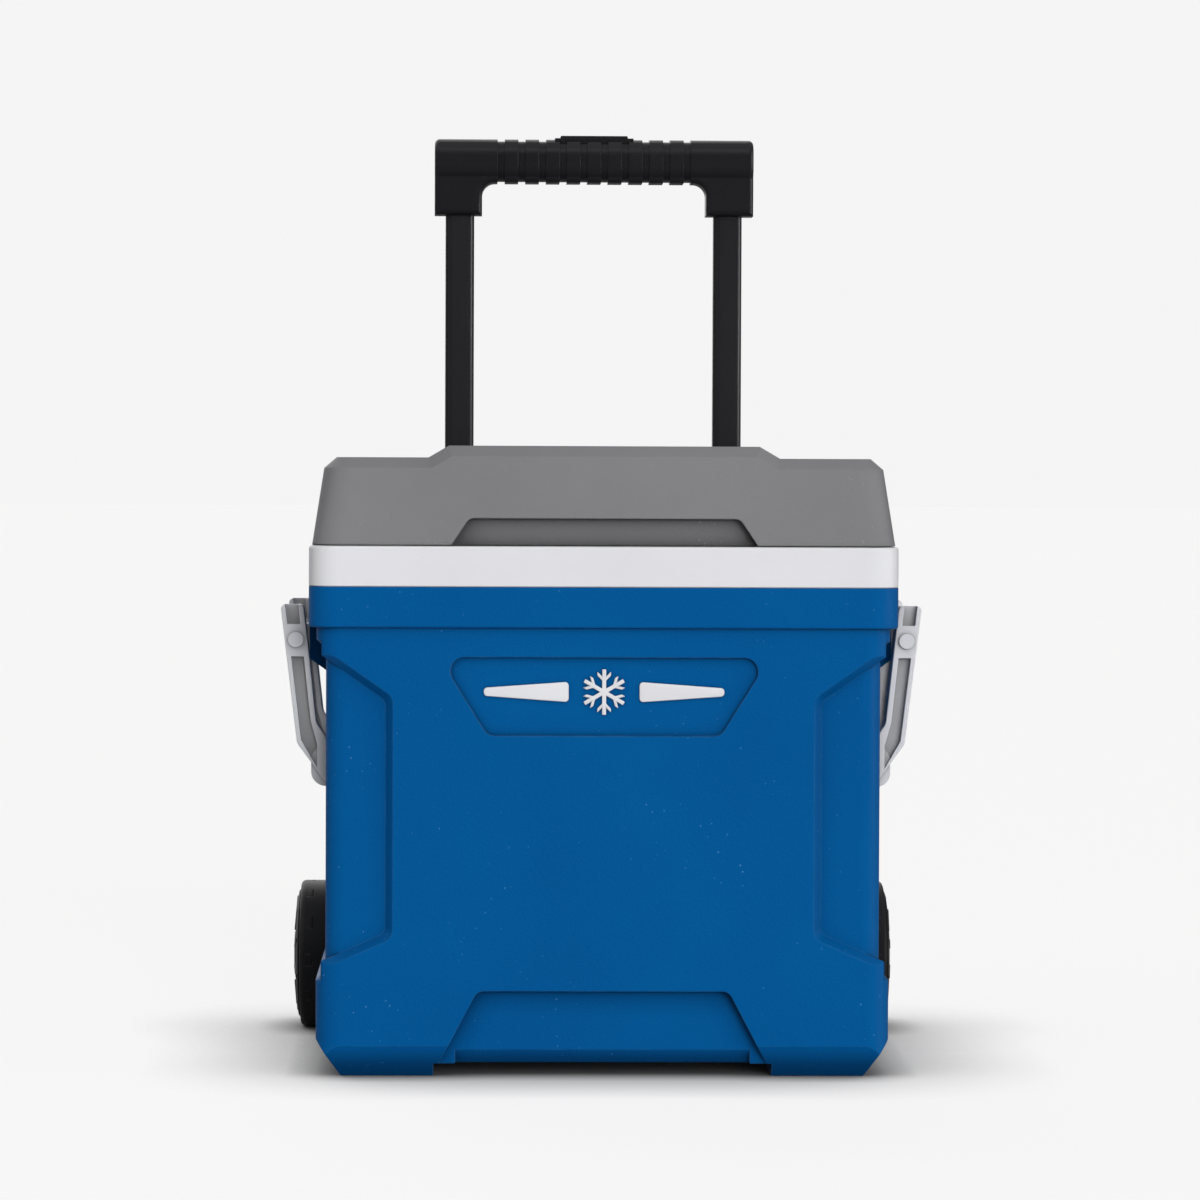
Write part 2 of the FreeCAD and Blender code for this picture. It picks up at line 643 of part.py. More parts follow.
def snowflake():
    arms = []
    for number in range(3):
        bar = centred("emblem_bar / 2", "emblem_radius")
        arms.append(plate("flake_arm_%d" % number, turned(bar, 60 * number)))
    for number in range(6):
        chevron = [("0", "emblem_radius * 0.42"), ("emblem_radius * 0.3", "emblem_radius * 0.72"),
                   ("emblem_radius * 0.3", "emblem_radius * 0.72 + emblem_bar"),
                   ("0", "emblem_radius * 0.42 + emblem_bar"),
                   ("-emblem_radius * 0.3", "emblem_radius * 0.72 + emblem_bar"),
                   ("-emblem_radius * 0.3", "emblem_radius * 0.72")]
        arms.append(plate("flake_tip_%d" % number, turned(chevron, 60 * number)))
    return fuse("snowflake", *arms)


def wing():
    """The bar beside the snowflake, which narrows outwards."""
    start = "emblem_radius + 8"
    outline = [(start, "emblem_z - wing_tall / 2"), (start + " + wing_long", "emblem_z - wing_tall / 5"),
               (start + " + wing_long", "emblem_z + wing_tall / 5"), (start, "emblem_z + wing_tall / 2")]
    bar = plate("wing", outline)
    return dress(bar, "Fillet", "wing_tall / 5 - 0.2", lambda edge: runs(edge, "y"))


right_wing = wing()
keep("front_badge", group("badge", [snowflake(), right_wing, mirrored("left_wing", right_wing)]))


# ---- Lid: outer skin, inner skin, foam and hinge ----

def lid_form():
    """The lid's outer form: sloping sides, a raised middle and a rounded top."""
    skirt = rounded_block("skirt", "lid_x", "lid_y", "lid_low", "crown + 4", "rim_corner", "-lid_slope")
    right = [("lid_x + 2", "lid_low"), ("lid_x + 2", "shoulder"), ("crown_foot", "shoulder"),
             ("crown_half", "crown")]
    profile = prism("lid_profile", "XZ", symmetric(right), "-lid_y - 2", "2 * lid_y + 4")
    form = common("lid_form", skirt, profile)
    return bevel("lid_bevelled", form, "lid_bevel", top_edge)


def top_edge(edge):
    """Whether an edge runs round the lid's top."""
    limits = edge.BoundBox
    outside = abs(edge.CenterOfMass.y - size("mid")) > size("lid_y") * 0.9 or limits.XMax > size("lid_x") * 0.9
    outside = outside or limits.XMin < -size("lid_x") * 0.9
    return limits.ZMin > size("shoulder") - 0.1 and outside


def lift_recess():
    """The recess under the lid's front edge, for lifting it."""
    outline = symmetric([("lift_half_low", "lid_low - 1"), ("lift_half_top", "lid_low + lift_tall")])
    recess = prism("lift_recess", "XZ", outline, "-lid_y - 2", "lift_deep + 2")
    return dress(recess, "Fillet", "6", lambda e: runs(e, "y") and e.CenterOfMass.z > size("lid_low") + 2)


def lid_void(name, gap):
    """The space inside the lid, made smaller by a gap."""
    front = "lift_deep + lid_wall - lid_y + 2 + %s" % gap
    points = rectangle(("%s - lid_void_x" % gap, "lid_void_x - %s" % gap), (front, "lid_void_y - %s" % gap))
    room = prism(name, "XY", points, "lid_low - 0.01", "lid_void_top - lid_low - %s" % gap)
    return dress(room, "Fillet", "10", lambda edge: runs(edge, "z"))


def plug(name, wall):
    """The part of the lid that reaches into the cavity, made smaller by a wall."""
    points = centred("plug_x - %s" % wall, "plug_y - %s" % wall)
    form = prism(name, "XY", points, "lid_low + liner_wall", "plug_tall + liner_wall - %s" % wall, "-4")
    form.Group[-1].Reversed = True
    settle(form)
    dress(form, "Fillet", "liner_round - plug_gap", lambda edge: runs(edge, "z"))
    low = size("lid_low - plug_tall + %s" % wall)
    return dress(form, "Fillet", "3", lambda edge: level(edge, "z", low))


def tray():
    """The flat of the lid's inner skin, which closes the outer skin from below."""
    front = "lift_deep + lid_wall - lid_y + 2 + seam"
    points = rectangle(("seam - lid_void_x", "lid_void_x - seam"), (front, "lid_void_y - seam"))
    flat = prism("tray", "XY", points, "lid_low", "liner_wall")
    return dress(flat, "Fillet", "10 - seam", lambda edge: runs(edge, "z"))


leaf_notch = box("leaf_notch", ("-hinge_half + 1.6", "hinge_half - 1.6"), ("leaf_front - 0.3", "lid_y + 2"),
                 ("leaf_low", "crown + 4"))
leaf_x = "hinge_half - 10"
leaf_y = "leaf_front + 5"
base_z = "rim_top - 8"
base_high = "rim_top + 12"


def screw(name, axis, tip, seat, across, head="head_tall"):
    """A screw from its tip to the seat of its head. The head stands past the seat."""
    shank = rod(name + "_shank", axis, tip, seat, across, "screw_radius")
    top = rod(name + "_head", axis, seat, "%s + %s" % (seat, head), across, "head_radius")
    return fuse(name, shank, top)


leaf_screw = screw("leaf_screw", "z", "leaf_low - lid_wall + 0.2", "leaf_low + leaf_thick", (leaf_x, leaf_y), "1.5")
leaf_screws = keep("hinge_leaf_screws", both("leaf_screws", leaf_screw))
base_rows = [screw("base_screw_low", "y", "deep - 9", "hinge_y + leaf_thick / 2", (leaf_x, base_z)),
             screw("base_screw_high", "y", "deep - 9", "hinge_y + leaf_thick / 2", (leaf_x, base_high))]
base_pair = group("base_rows", base_rows)
base_screws = keep("hinge_base_screws", both("base_screws", base_pair))
lid_skin = cut("lid_skin", lid_form(), lift_recess(), lid_void("lid_room", "0"), leaf_notch, leaf_screws)
keep("lid_top", lid_skin)
keep("lid_liner", cut("lid_inner", fuse("lid_inner_form", tray(), plug("plug", "0")),
                      plug("plug_hollow", "liner_wall")))
foam_cap = cut("lid_foam_cap", lid_void("lid_foam_room", "seam"),
               box("under_tray", ("-half", "half"), ("-deep", "deep"), ("lid_low - 1", "lid_low + liner_wall + seam")))
foam_plug = cut("lid_foam_plug", plug("plug_foam", "(liner_wall + seam)"),
                box("over_tray", ("-half", "half"), ("-deep", "deep"), ("lid_low + liner_wall + seam", "crown")))
keep("lid_foam", fuse("lid_filling", foam_cap, foam_plug,
                      box("foam_neck", ("30 - plug_x", "plug_x - 30"), ("30 - plug_y", "plug_y - 30"),
                          ("lid_low", "lid_low + liner_wall + 2"))))


def hinge_leaf():
    """The lid's leaf, with the knuckle in the middle."""
    flat = box("leaf_flat", ("2 - hinge_half", "hinge_half - 2"), ("leaf_front", "hinge_y - knuckle_radius - 1"),
               ("leaf_low", "leaf_low + leaf_thick"))
    tongue = box("leaf_tongue", ("-knuckle_half", "knuckle_half"), ("leaf_front + 4", "hinge_y"),
                 ("leaf_low", "leaf_low + leaf_thick"))
    knuckle = rod("leaf_knuckle", "x", "-knuckle_half", "knuckle_half", ("hinge_y", "shoulder"), "knuckle_radius")
    bore = rod("leaf_bore", "x", "-hinge_half", "hinge_half", ("hinge_y", "shoulder"),
               "hinge_pin_radius + running_fit")
    return cut("leaf", fuse("leaf_form", flat, tongue, knuckle), bore, leaf_screws)


def hinge_base():
    """The fixed plate behind the collar, with a knuckle at each end."""
    low, high = "rim_top - 16", "shoulder - 9"
    flat = box("base_flat", ("-hinge_half", "hinge_half"), ("deep", "hinge_y + leaf_thick / 2"), (low, high))
    pieces = [flat]
    ear = box("base_ear", ("knuckle_half + 0.4", "hinge_half"), ("deep + 1.4", "hinge_y + leaf_thick / 2"),
              ("shoulder - 12", "shoulder"))
    knuckle = rod("base_knuckle", "x", "knuckle_half + 0.4", "hinge_half", ("hinge_y", "shoulder"), "knuckle_radius")
    pieces.append(both("base_ears", ear))
    pieces.append(both("base_knuckles", knuckle))
    bore = rod("base_bore", "x", "-hinge_half - 1", "hinge_half + 1", ("hinge_y", "shoulder"), "hinge_pin_radius")
    return cut("hinge_fixed", fuse("base_form", *pieces), bore, base_screws)


keep("lid_hinge_leaf", hinge_leaf())
keep("lid_hinge_base", hinge_base())
keep("hinge_pin", rod("pin_of_hinge", "x", "-hinge_half", "hinge_half", ("hinge_y", "shoulder"), "hinge_pin_radius"))


# ---- Chassis: guides, brackets, axle and wheels ----

def tube_block(name, extra, radius, low, high):
    """A rounded upright block round the right handle tube, with extra size all round."""
    points = rectangle(("tube_x - tube_wide / 2 - (%s)" % extra, "tube_x + tube_wide / 2 + (%s)" % extra),
                       ("tube_back - tube_deep / 2 - (%s)" % extra, "tube_back + tube_deep / 2 + (%s)" % extra))
    block = prism(name, "XY", points, low, "(%s) - (%s)" % (high, low))
    return dress(block, "Fillet", radius, lambda edge: runs(edge, "z"))


guide_extra = "guide_fit + guide_wall"


def guide_block(name, low, high):
    return tube_block(name, guide_extra, "tube_round + guide_wall", low, high)


right_guide = cut("guide", guide_block("guide_outside", "guide_low", "guide_top"),
                  tube_block("guide_bore", "guide_fit", "tube_round", "guide_low - 1", "guide_top + 1"))
keep("right_guide_tube", right_guide)
keep("left_guide_tube", mirrored("other_guide", right_guide))
right_bush = cut("guide_collar", tube_block("collar_block", guide_extra + " + 2", "tube_round + guide_wall + 2",
                                            "guide_top - 8", "guide_top + 1.5"),
                 guide_block("collar_seat", "guide_top - 9", "guide_top"),
                 tube_block("collar_bore", "guide_fit", "tube_round", "guide_top - 1", "guide_top + 2"))
keep("right_guide_bush", right_bush)
keep("left_guide_bush", mirrored("other_collar", right_bush))
guide_cuts = both("guide_cuts", guide_block("guide_cut", "guide_low", "guide_top"))
flange_x = "tube_x + guide_wide / 2 + 12"
flange_in = "tube_x - guide_wide / 2 - 12"
bracket_screws = both("bracket_screw_pairs", group("bracket_screw_pair", [
    screw("bracket_screw_out", "y", "deep - 9", "deep + 3", (flange_x, "rim_top - 13")),
    screw("bracket_screw_in", "y", "deep - 9", "deep + 3", (flange_in, "rim_top - 13"))]))
keep("bracket_screws", bracket_screws)


def upper_bracket():
    """The bracket that holds both guides to the back of the rim."""
    low, tall = "rim_top - 22", "26"
    out, inside = "tube_x + guide_wide / 2 + 5", "tube_x - guide_wide / 2 - 5"
    rear = "tube_back + guide_deep / 2 + 2"
    outline = [(negative(out), "deep"), (negative(inside), "deep"), (negative(inside), "rear - 12"),
               (inside, "rear - 12"), (inside, "deep"), (out, "deep"), (out, "rear"), (negative(out), "rear")]
    outline = [(x, y.replace("rear", "(%s)" % rear)) for x, y in outline]
    frame = prism("bracket_frame", "XY", outline, low, tall)
    dress(frame, "Fillet", "5", lambda edge: runs(edge, "z") and edge.BoundBox.YMin > size(back("deep + 1")))
    flange = box("bracket_flange", ("%s - 6" % flange_in, "%s + 6" % flange_x), ("deep", "deep + 3"),
                 (low, "rim_top - 4"))
    return cut("bracket", fuse("bracket_form", frame, both("bracket_flanges", flange)), guide_cuts, bracket_screws)


keep("upper_tube_bracket", upper_bracket())
carrier_rows = [screw("carrier_screw_in", "y", "step_y - 2.8", "step_y + 4", ("tube_x - 25", "step_top - 14")),
                screw("carrier_screw_out", "y", "step_y - 2.8", "step_y + 4", ("tube_x + 45", "step_top - 14"))]
carrier_screws = both("carrier_screw_pairs", group("carrier_rows", carrier_rows))
keep("carrier_screws", carrier_screws)


def axle_carrier():
    """The black beam behind the tub's foot, which carries the axle and the feet of the guides."""
    beam = prism("beam", "YZ", [("step_y", "wheel_radius - 22"), ("step_y", "wheel_radius + 22"),
                                ("wheel_back + 6", "wheel_radius + 14"), ("wheel_back + 12", "wheel_radius + 8"),
                                ("wheel_back + 12", "wheel_radius - 12"), ("wheel_back + 4", "wheel_radius - 18")],
                 "-beam_end", "2 * beam_end")
    socket = box("socket", ("tube_x - guide_wide / 2 - 4", "tube_x + guide_wide / 2 + 4"),
                 ("wheel_back", "tube_back + guide_deep / 2 + 4"), ("guide_low - 8", "guide_low + 36"))
    ear = box("carrier_ear", ("tube_x - 36", "tube_x + 56"), ("step_y", "step_y + 4"),
              ("wheel_radius", "step_top - 5"))
    bore = rod("axle_bore", "x", "-half", "half", ("wheel_back", "wheel_radius"), "axle_radius")
    form = fuse("carrier_form", beam, both("sockets", socket), both("carrier_ears", ear))
    return cut("carrier", form, bore, guide_cuts, carrier_screws)


keep("axle_carrier", axle_carrier())
keep("axle", rod("axle_rod", "x", "-bush_end - 5", "bush_end + 5", ("wheel_back", "wheel_radius"), "axle_radius"))


def disc(name, start, end, radius):
    """A cylinder on the wheels' axis, on the right side."""
    return rod(name, "x", start, end, ("wheel_back", "wheel_radius"), radius)


def ring(name, start, end, radius, hole):
    return cut(name, disc(name + "_disc", start, end, radius), disc(name + "_hole", start, end, hole))


keep("axle_washers", group("washers", [both("inner_washers", ring("washer_in", "beam_end", "beam_end + 2",
                                                                  "9", "axle_radius")),
                                       both("outer_washers", ring("washer_out", "bush_end + 0.4", "bush_end + 1.8",
                                                                  "10", "axle_radius"))]))
keep("axle_clips", both("clips", ring("clip", "bush_end + 1.8", "bush_end + 3", "7.5", "axle_radius")))


def wheel_pieces():
    """The right wheel: tyre, hub, bush and cap."""
    tread = disc("tread", "wheel_out", "hub_end", "wheel_radius")
    faces = (size("wheel_out"), size("hub_end"))
    tread = soften("tread_round", tread, "3.5", lambda e: any(level(e, "x", place) for place in faces))
    tyre = cut("tyre", tread, disc("tyre_hole", "wheel_out - 1", "hub_end + 1", "tyre_in"))
    hub = cut("hub", disc("hub_disc", "wheel_out", "hub_end", "tyre_in"),
              disc("hub_bore", "wheel_out - 1", "bush_end + 1", "bush_radius"),
              disc("hub_recess", "bush_end", "hub_end + 1", "14"),
              ring("hub_relief", "wheel_out - 1", "wheel_out + 14", "tyre_in - 5", "bush_radius + 5"))
    bush = ring("wheel_bush", "wheel_out", "bush_end", "bush_radius", "axle_radius + running_fit")
    dome = disc("dome", "hub_end", "hub_end + cap_bulge", "cap_radius")
    dome = soften("dome_round", dome, "cap_bulge - 0.6", lambda e: level(e, "x", size("hub_end + cap_bulge")))
    cap = cut("cap", dome, disc("cap_hollow", "hub_end - 1", "hub_end + 1.6", "14"))
    return {"tyre": tyre, "hub": hub, "wheel_bush": bush, "wheel_cap": cap}


for piece, item in wheel_pieces().items():
    keep("right_" + piece, item)
    keep("left_" + piece, mirrored("left_" + piece, item))


# ---- Telescoping handle, its release button and its locks ----

def roll(name, sink):
    """The grip's rounded bar, made smaller all round."""
    points = rectangle(("tube_back - bar_deep / 2 + (%s)" % sink, "tube_back + bar_deep / 2 - (%s)" % sink),
                       ("bar_low + (%s)" % sink, "grip_top - (%s)" % sink))
    bar = prism(name, "YZ", points, "-grip_wide / 2", "grip_wide")
    return dress(bar, "Fillet", "bar_round - (%s)" % sink, lambda edge: runs(edge, "x"))


def grip_form():
    """The grip as one form: a roll on top and a flat leg over each tube."""
    bar = roll("roll", "0")
    ends = (size("-grip_wide / 2"), size("grip_wide / 2"))
    dress(bar, "Fillet", "3.5", lambda edge: any(level(edge, "x", place) for place in ends))
    right = [("leg_x", "grip_low"), ("grip_wide / 2", "grip_low"), ("grip_wide / 2", "grip_top - 1.5")]
    outline = right + [(negative(x), z) for x, z in reversed(right)]
    outline += [("-leg_x", "bar_low"), ("leg_x", "bar_low")]
    yoke = prism("grip_yoke", "XZ", outline, "tube_back - leg_deep / 2", "leg_deep")
    dress(yoke, "Fillet", "9", lambda e: runs(e, "y") and abs(e.CenterOfMass.z - size("bar_low")) < 1)
    dress(yoke, "Fillet", "5", lambda e: runs(e, "y") and e.CenterOfMass.z > size("grip_top - 3"))
    sides = (size(back("tube_back - leg_deep / 2")), size(back("tube_back + leg_deep / 2")))
    dress(yoke, "Fillet", "4", lambda e: any(level(e, "y", place) for place in sides))
    return cut("ringed", fuse("grip_whole", bar, yoke), rings())


def rings():
    """The ten ring grooves round the roll."""
    slabs = []
    for number in range(10):
        place = "%.1f * ring_pitch" % (number - 4.5)
        slabs.append(box("slab_%d" % number, (place + " - ring_wide / 2", place + " + ring_wide / 2"),
                         ("tube_back - bar_deep", "tube_back + bar_deep"), ("bar_low - 1", "grip_top + 1")))
    return cut("grooves", group("slabs", slabs), roll("roll_core", "ring_sink"))


def button_block(name, extra, low, high):
    """A block about the button, with extra size all round."""
    block = box(name, ("-button_half - (%s)" % extra, "button_half + (%s)" % extra),
                ("tube_back - button_deep / 2 - (%s)" % extra, "tube_back + button_deep / 2 + (%s)" % extra),
                (low, high))
    return block


grip_screw_z = "grip_top - 6.5"
grip_screws = both("grip_screw_pairs", group("grip_screw_pair", [
    screw("grip_screw_in", "y", "tube_back - 8", "tube_back + 9", ("button_half + 22", grip_screw_z)),
    screw("grip_screw_out", "y", "tube_back - 8", "tube_back + 9", ("tube_x + 7", grip_screw_z))]))
keep("grip_screws", grip_screws)
wells = both("screw_well_pairs", group("screw_wells", [
    rod("screw_well_in", "y", "tube_back + 9", "tube_back + bar_deep", ("button_half + 22", grip_screw_z),
        "head_radius"),
    rod("screw_well_out", "y", "tube_back + 9", "tube_back + bar_deep", ("tube_x + 7", grip_screw_z),
        "head_radius")]))
channel_half = "button_deep / 2 + 1"
channel = box("channel", ("-tube_x - 5", "tube_x + 5"), ("tube_back - (%s)" % channel_half,
                                                        "tube_back + (%s)" % channel_half),
              ("tube_top", "tube_top + 15"))
tube_sockets = both("tube_sockets", tube_block("tube_socket", "0", "tube_round", "grip_low - 1", "tube_top"))
spring_well = rod("spring_well", "z", "spring_low", "tube_top + 1", ("0", "tube_back"), "6")
bezel_seat = button_block("bezel_seat", "bezel_wide + 0.35", "tube_top + 14", "grip_top + 3")
grip = cut("grip", grip_form(), channel, tube_sockets, spring_well, bezel_seat, grip_screws, wells)
front_side = box("front_side", ("-half", "half"), ("tube_back - bar_deep", "tube_back"), ("grip_low - 5", "grip_top + 5"))
rear_side = box("rear_side", ("-half", "half"), ("tube_back", "tube_back + bar_deep"), ("grip_low - 5", "grip_top + 5"))
keep("grip_front_half", common("grip_front", grip, front_side))
keep("grip_rear_half", common("grip_rear", grip, rear_side))
bezel_block = button_block("bezel_block", "bezel_wide + 0.35", "tube_top + 15", "grip_top + 0.8")
keep("button_bezel", cut("bezel", bezel_block, button_block("bezel_hole", "0.35", "tube_top", "grip_top + 3")))
button = button_block("button_form", "0", "yoke_low + 4", "grip_top + button_proud")
keep("push_button", soften("button_round", button, "1.2", lambda e: level(e, "z", size("grip_top + button_proud"))))
yoke_bar = box("yoke_bar", ("-tube_x - 3", "tube_x + 3"), ("tube_back - 4", "tube_back + 4"),
               ("yoke_low", "yoke_low + 4"))
keep("release_yoke", yoke_bar)
rod_low = "lock_z + lock_radius + press + 3"
right_rod = rod("release_rod", "z", rod_low, "yoke_low", ("tube_x", "tube_back"), "rod_radius")
keep("right_release_rod", right_rod)
keep("left_release_rod", mirrored("other_rod", right_rod))


def coil(name, low, high):
    """The coil spring under the button: a round wire wound about the button's upright axis."""
    body = doc.addObject("PartDesign::Body", name)
    sketch = body.newObject("Sketcher::SketchObject", name + "_wire")
    origin_plane = next(item for item in body.Origin.OriginFeatures if item.Role == "XZ_Plane")
    sketch.AttachmentSupport = (origin_plane, [""])
    sketch.MapMode = "FlatFace"
    sketch.setExpression("AttachmentOffset.Base.z", bound(negative(back("tube_back"))))
    centre = ("spring_radius", "%s + wire_radius" % low)
    spot = FreeCAD.Vector(size(centre[0]), size(centre[1]), 0)
    sketch.addGeometry(Part.Circle(spot, FreeCAD.Vector(0, 0, 1), size("wire_radius")))
    sketch.addConstraint(Sketcher.Constraint("Radius", 0, size("wire_radius")))
    sketch.addConstraint(Sketcher.Constraint("DistanceX", -1, 1, 0, 3, spot.x))
    sketch.addConstraint(Sketcher.Constraint("DistanceY", -1, 1, 0, 3, spot.y))
    for number, formula in enumerate(["wire_radius", centre[0], centre[1]]):
        sketch.setExpression("Constraints[%d]" % number, bound(formula))
    helix = body.newObject("PartDesign::AdditiveHelix", name + "_helix")
    helix.Profile = sketch
    helix.ReferenceAxis = (sketch, ["V_Axis"])
    helix.Mode = 0
    tall = "(%s) - (%s) - 2 * wire_radius" % (high, low)
    helix.setExpression("Height", bound(tall))
    helix.setExpression("Pitch", bound("(%s) / spring_turns" % tall))
    return settle(body)


keep("button_spring", coil("spring", "spring_low", "yoke_low"))
lock_bore = rod("lock_bore", "x", "tube_x - 8", "tube_x + tube_wide", ("tube_back", "lock_z"),
                "lock_radius + running_fit")
rod_bore = rod("rod_bore", "z", "lock_z", "tube_low + lock_tall + 1", ("tube_x", "tube_back"), "rod_radius + 0.4")
housing = cut("housing", tube_block("housing_block", "-tube_wall - 0.05", "tube_round - tube_wall", "tube_low",
                                    "tube_low + lock_tall"), lock_bore, rod_bore)
tube = cut("tube", tube_block("tube_outside", "0", "tube_round", "tube_low", "tube_top"),
           tube_block("tube_bore", "-tube_wall", "tube_round - tube_wall", "tube_low - 1", "tube_top + 1"), lock_bore)
lock_pin = rod("lock", "x", "tube_x - 1", "tube_x + tube_wide / 2 + 0.1", ("tube_back", "lock_z"), "lock_radius")
for piece, item in {"inner_tube": tube, "lock_housing": housing, "lock_pin": lock_pin}.items():
    keep("right_" + piece, item)
    keep("left_" + piece, mirrored("left_" + piece, item))


# ---- Side bail handles ----

def arm_side(side, z, inset="0"):
    """A corner on a bail arm's outer or inner side at a height, set inside it by an amount."""
    if side == "outer":
        return ("pivot_x + arm_out - (arm_top - (%s)) * lean_out - (%s)" % (z, inset), z)
    return ("pivot_x - arm_in - (arm_top - (%s)) * lean_in + (%s)" % (z, inset), z)


def arm(name, start):
    """One arm of the right bail: a leaning I-section that turns in at its foot."""
    outline = [arm_side("inner", "arm_top"), arm_side("outer", "arm_top"), arm_side("outer", "hold_z + 15"),
               ("hold_x + 3", "hold_z - 7"), ("hold_x - 2", "hold_low + 0.5"), ("hold_x - 6", "hold_z"),
               ("hold_x - 2", "hold_high - 0.5"), ("hold_x + 1", "hold_z + 20"), arm_side("inner", "hold_z + 28")]
    form = prism(name, "XZ", outline, start, "arm_wide")
    dress(form, "Fillet", "3", lambda e: runs(e, "y") and e.CenterOfMass.z > size("pivot_z"))
    bends = (size("hold_z + 15"), size("hold_z + 28"), size("hold_z - 7"))
    dress(form, "Fillet", "8", lambda e: runs(e, "y") and min(abs(e.CenterOfMass.z - z) for z in bends) < 0.5)
    dress(form, "Fillet", "0.8", lambda e: abs(e.BoundBox.YMax - e.BoundBox.YMin) < 0.01)
    low, high = "pivot_z - 11", "pivot_z + 10"
    lower = [arm_side("inner", low, "flange + 0.5"), arm_side("outer", low, "flange"),
             arm_side("outer", "hold_z + 17", "flange"), ("hold_x + 6", "hold_z - 1"),
             ("hold_x + 6", "hold_z + 14"), arm_side("inner", "hold_z + 29", "flange + 0.5")]
    upper = [arm_side("inner", high, "flange + 0.5"), arm_side("outer", high, "flange"),
             arm_side("outer", "arm_top + 1", "flange"), arm_side("inner", "arm_top + 1", "flange + 0.5")]
    hollows = []
    for face, place in (("front", start + " - 1"), ("rear", start + " + arm_wide - web_sink")):
        for part, points in (("lower", lower), ("upper", upper)):
            hollows.append(prism("%s_%s_%s" % (name, part, face), "XZ", points, place, "web_sink + 1"))
    return cut(name + "_section", form, *hollows)


def bail():
    """The right bail: two arms and the grip between them, bored for its pivot pins."""
    hold = prism("hold", "XZ", rectangle(("hold_x - hold_wide / 2", "hold_x + hold_wide / 2"),
                                         ("hold_low", "hold_high")), "hold_inset - arm_outer",
                 "2 * (arm_outer - hold_inset)")
    dress(hold, "Fillet", "hold_round", lambda edge: runs(edge, "y"))
    bore = rod("pivot_bore", "y", "-arm_outer - 1", "arm_outer + 1", ("pivot_x", "pivot_z"),
               "pivot_radius + running_fit")
    return cut("bail", fuse("bail_form", arm("front_arm", "-arm_outer"), arm("rear_arm", "arm_inner"), hold), bore)


right_bail = bail()
keep("right_bail", right_bail)
keep("left_bail", mirrored("other_bail", right_bail))


def pivot_bracket():
    """The rear right pivot bracket: a lug for the pin and a flange with two screws."""
    lug = box("lug", ("pad_x", "pivot_x + 6"), ("pad_y - 12", "pad_y"), ("pivot_z - 9", "pivot_z + 9"))
    outer_x = size("pivot_x + 6")
    lug = soften("lug_round", lug, "5", lambda e: runs(e, "y") and abs(e.CenterOfMass.x - outer_x) < 0.1)
    flange = box("lug_flange", ("pad_x", "pad_x + 3"), ("pad_y - 34", "pad_y"), ("pivot_z - 12", "pivot_z + 9.5"))
    flange = soften("flange_round", flange, "4", lambda e: runs(e, "x") and e.CenterOfMass.y < size(back("pad_y - 30")))
    bore = rod("lug_bore", "y", "pad_y - 13", "pad_y + 1", ("pivot_x", "pivot_z"), "pivot_radius")
    return cut("pivot_lug", fuse("pivot_form", lug, flange), bore, pivot_screws)


pivot_screws = group("pivot_screw_pair", [
    screw("pivot_screw_low", "x", "pad_x - 8", "pad_x + 3", ("pad_y - 23", "pivot_z - 6.5")),
    screw("pivot_screw_high", "x", "pad_x - 8", "pad_x + 3", ("pad_y - 23", "pivot_z + 4"))])
all_pivot_screws = both("pivot_screws", group("pivot_screw_pairs", [pivot_screws,
                                                                    mirrored("front_screws", pivot_screws, "y")]))
keep("pivot_bracket_screws", all_pivot_screws)
rear_right = pivot_bracket()
front_right = mirrored("front_right_lug", rear_right, "y")
keep("right_rear_pivot_bracket", rear_right)
keep("right_front_pivot_bracket", front_right)
keep("left_rear_pivot_bracket", mirrored("left_rear_lug", rear_right))
keep("left_front_pivot_bracket", mirrored("left_front_lug", front_right))
pin_head = "arm_outer + 0.4"
rear_pin = fuse("rear_pin", rod("pin_shank", "y", "pad_y - 12", pin_head, ("pivot_x", "pivot_z"), "pivot_radius"),
                rod("pin_head", "y", pin_head, pin_head + " + 2", ("pivot_x", "pivot_z"), "5"))
right_pins = group("right_pins", [rear_pin, mirrored("front_pin", rear_pin, "y")])
keep("right_pivot_pins", right_pins)
keep("left_pivot_pins", mirrored("left_pins", right_pins))


# ---- Tub pieces, bored for every screw that enters them ----

keep("outer_shell", cut("shell", outer, base_screws, bracket_screws, carrier_screws, all_pivot_screws))
keep("inner_liner", cut("liner_bored", liner, base_screws))
keep("body_foam", foam)


# ---- Check every object, then write each sub-part to its own file ----

def inspect():
    doc.recompute()
    for item in doc.Objects:
        if "Invalid" in item.State or "Error" in item.State:
            raise RuntimeError("%s failed" % item.Name)
    for item in finished:
        if item.Shape.isNull() or not item.Shape.isValid() or not item.Shape.Solids:
            raise RuntimeError("%s has no valid solid" % item.Label)


inspect()
os.makedirs("parts", exist_ok=True)
for item in finished:
    item.Shape.exportStep("parts/%s.step" % item.Label)
print("%d sub-parts" % len(finished))
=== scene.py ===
import math

import bmesh
import bpy
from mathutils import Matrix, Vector


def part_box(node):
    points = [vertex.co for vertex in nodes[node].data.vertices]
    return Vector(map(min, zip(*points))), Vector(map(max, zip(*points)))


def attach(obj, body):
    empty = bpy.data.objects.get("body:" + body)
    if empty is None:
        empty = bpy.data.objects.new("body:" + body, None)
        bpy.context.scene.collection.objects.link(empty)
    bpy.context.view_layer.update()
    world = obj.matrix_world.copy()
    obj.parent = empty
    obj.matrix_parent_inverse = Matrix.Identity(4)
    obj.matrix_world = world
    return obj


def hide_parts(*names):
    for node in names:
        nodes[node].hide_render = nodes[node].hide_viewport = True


# A hard cooler on two wheels: a blue tub with a white collar, a grey hinged lid, two white side
# bails and a black telescoping handle. Every length below is in metres unless it says otherwise.

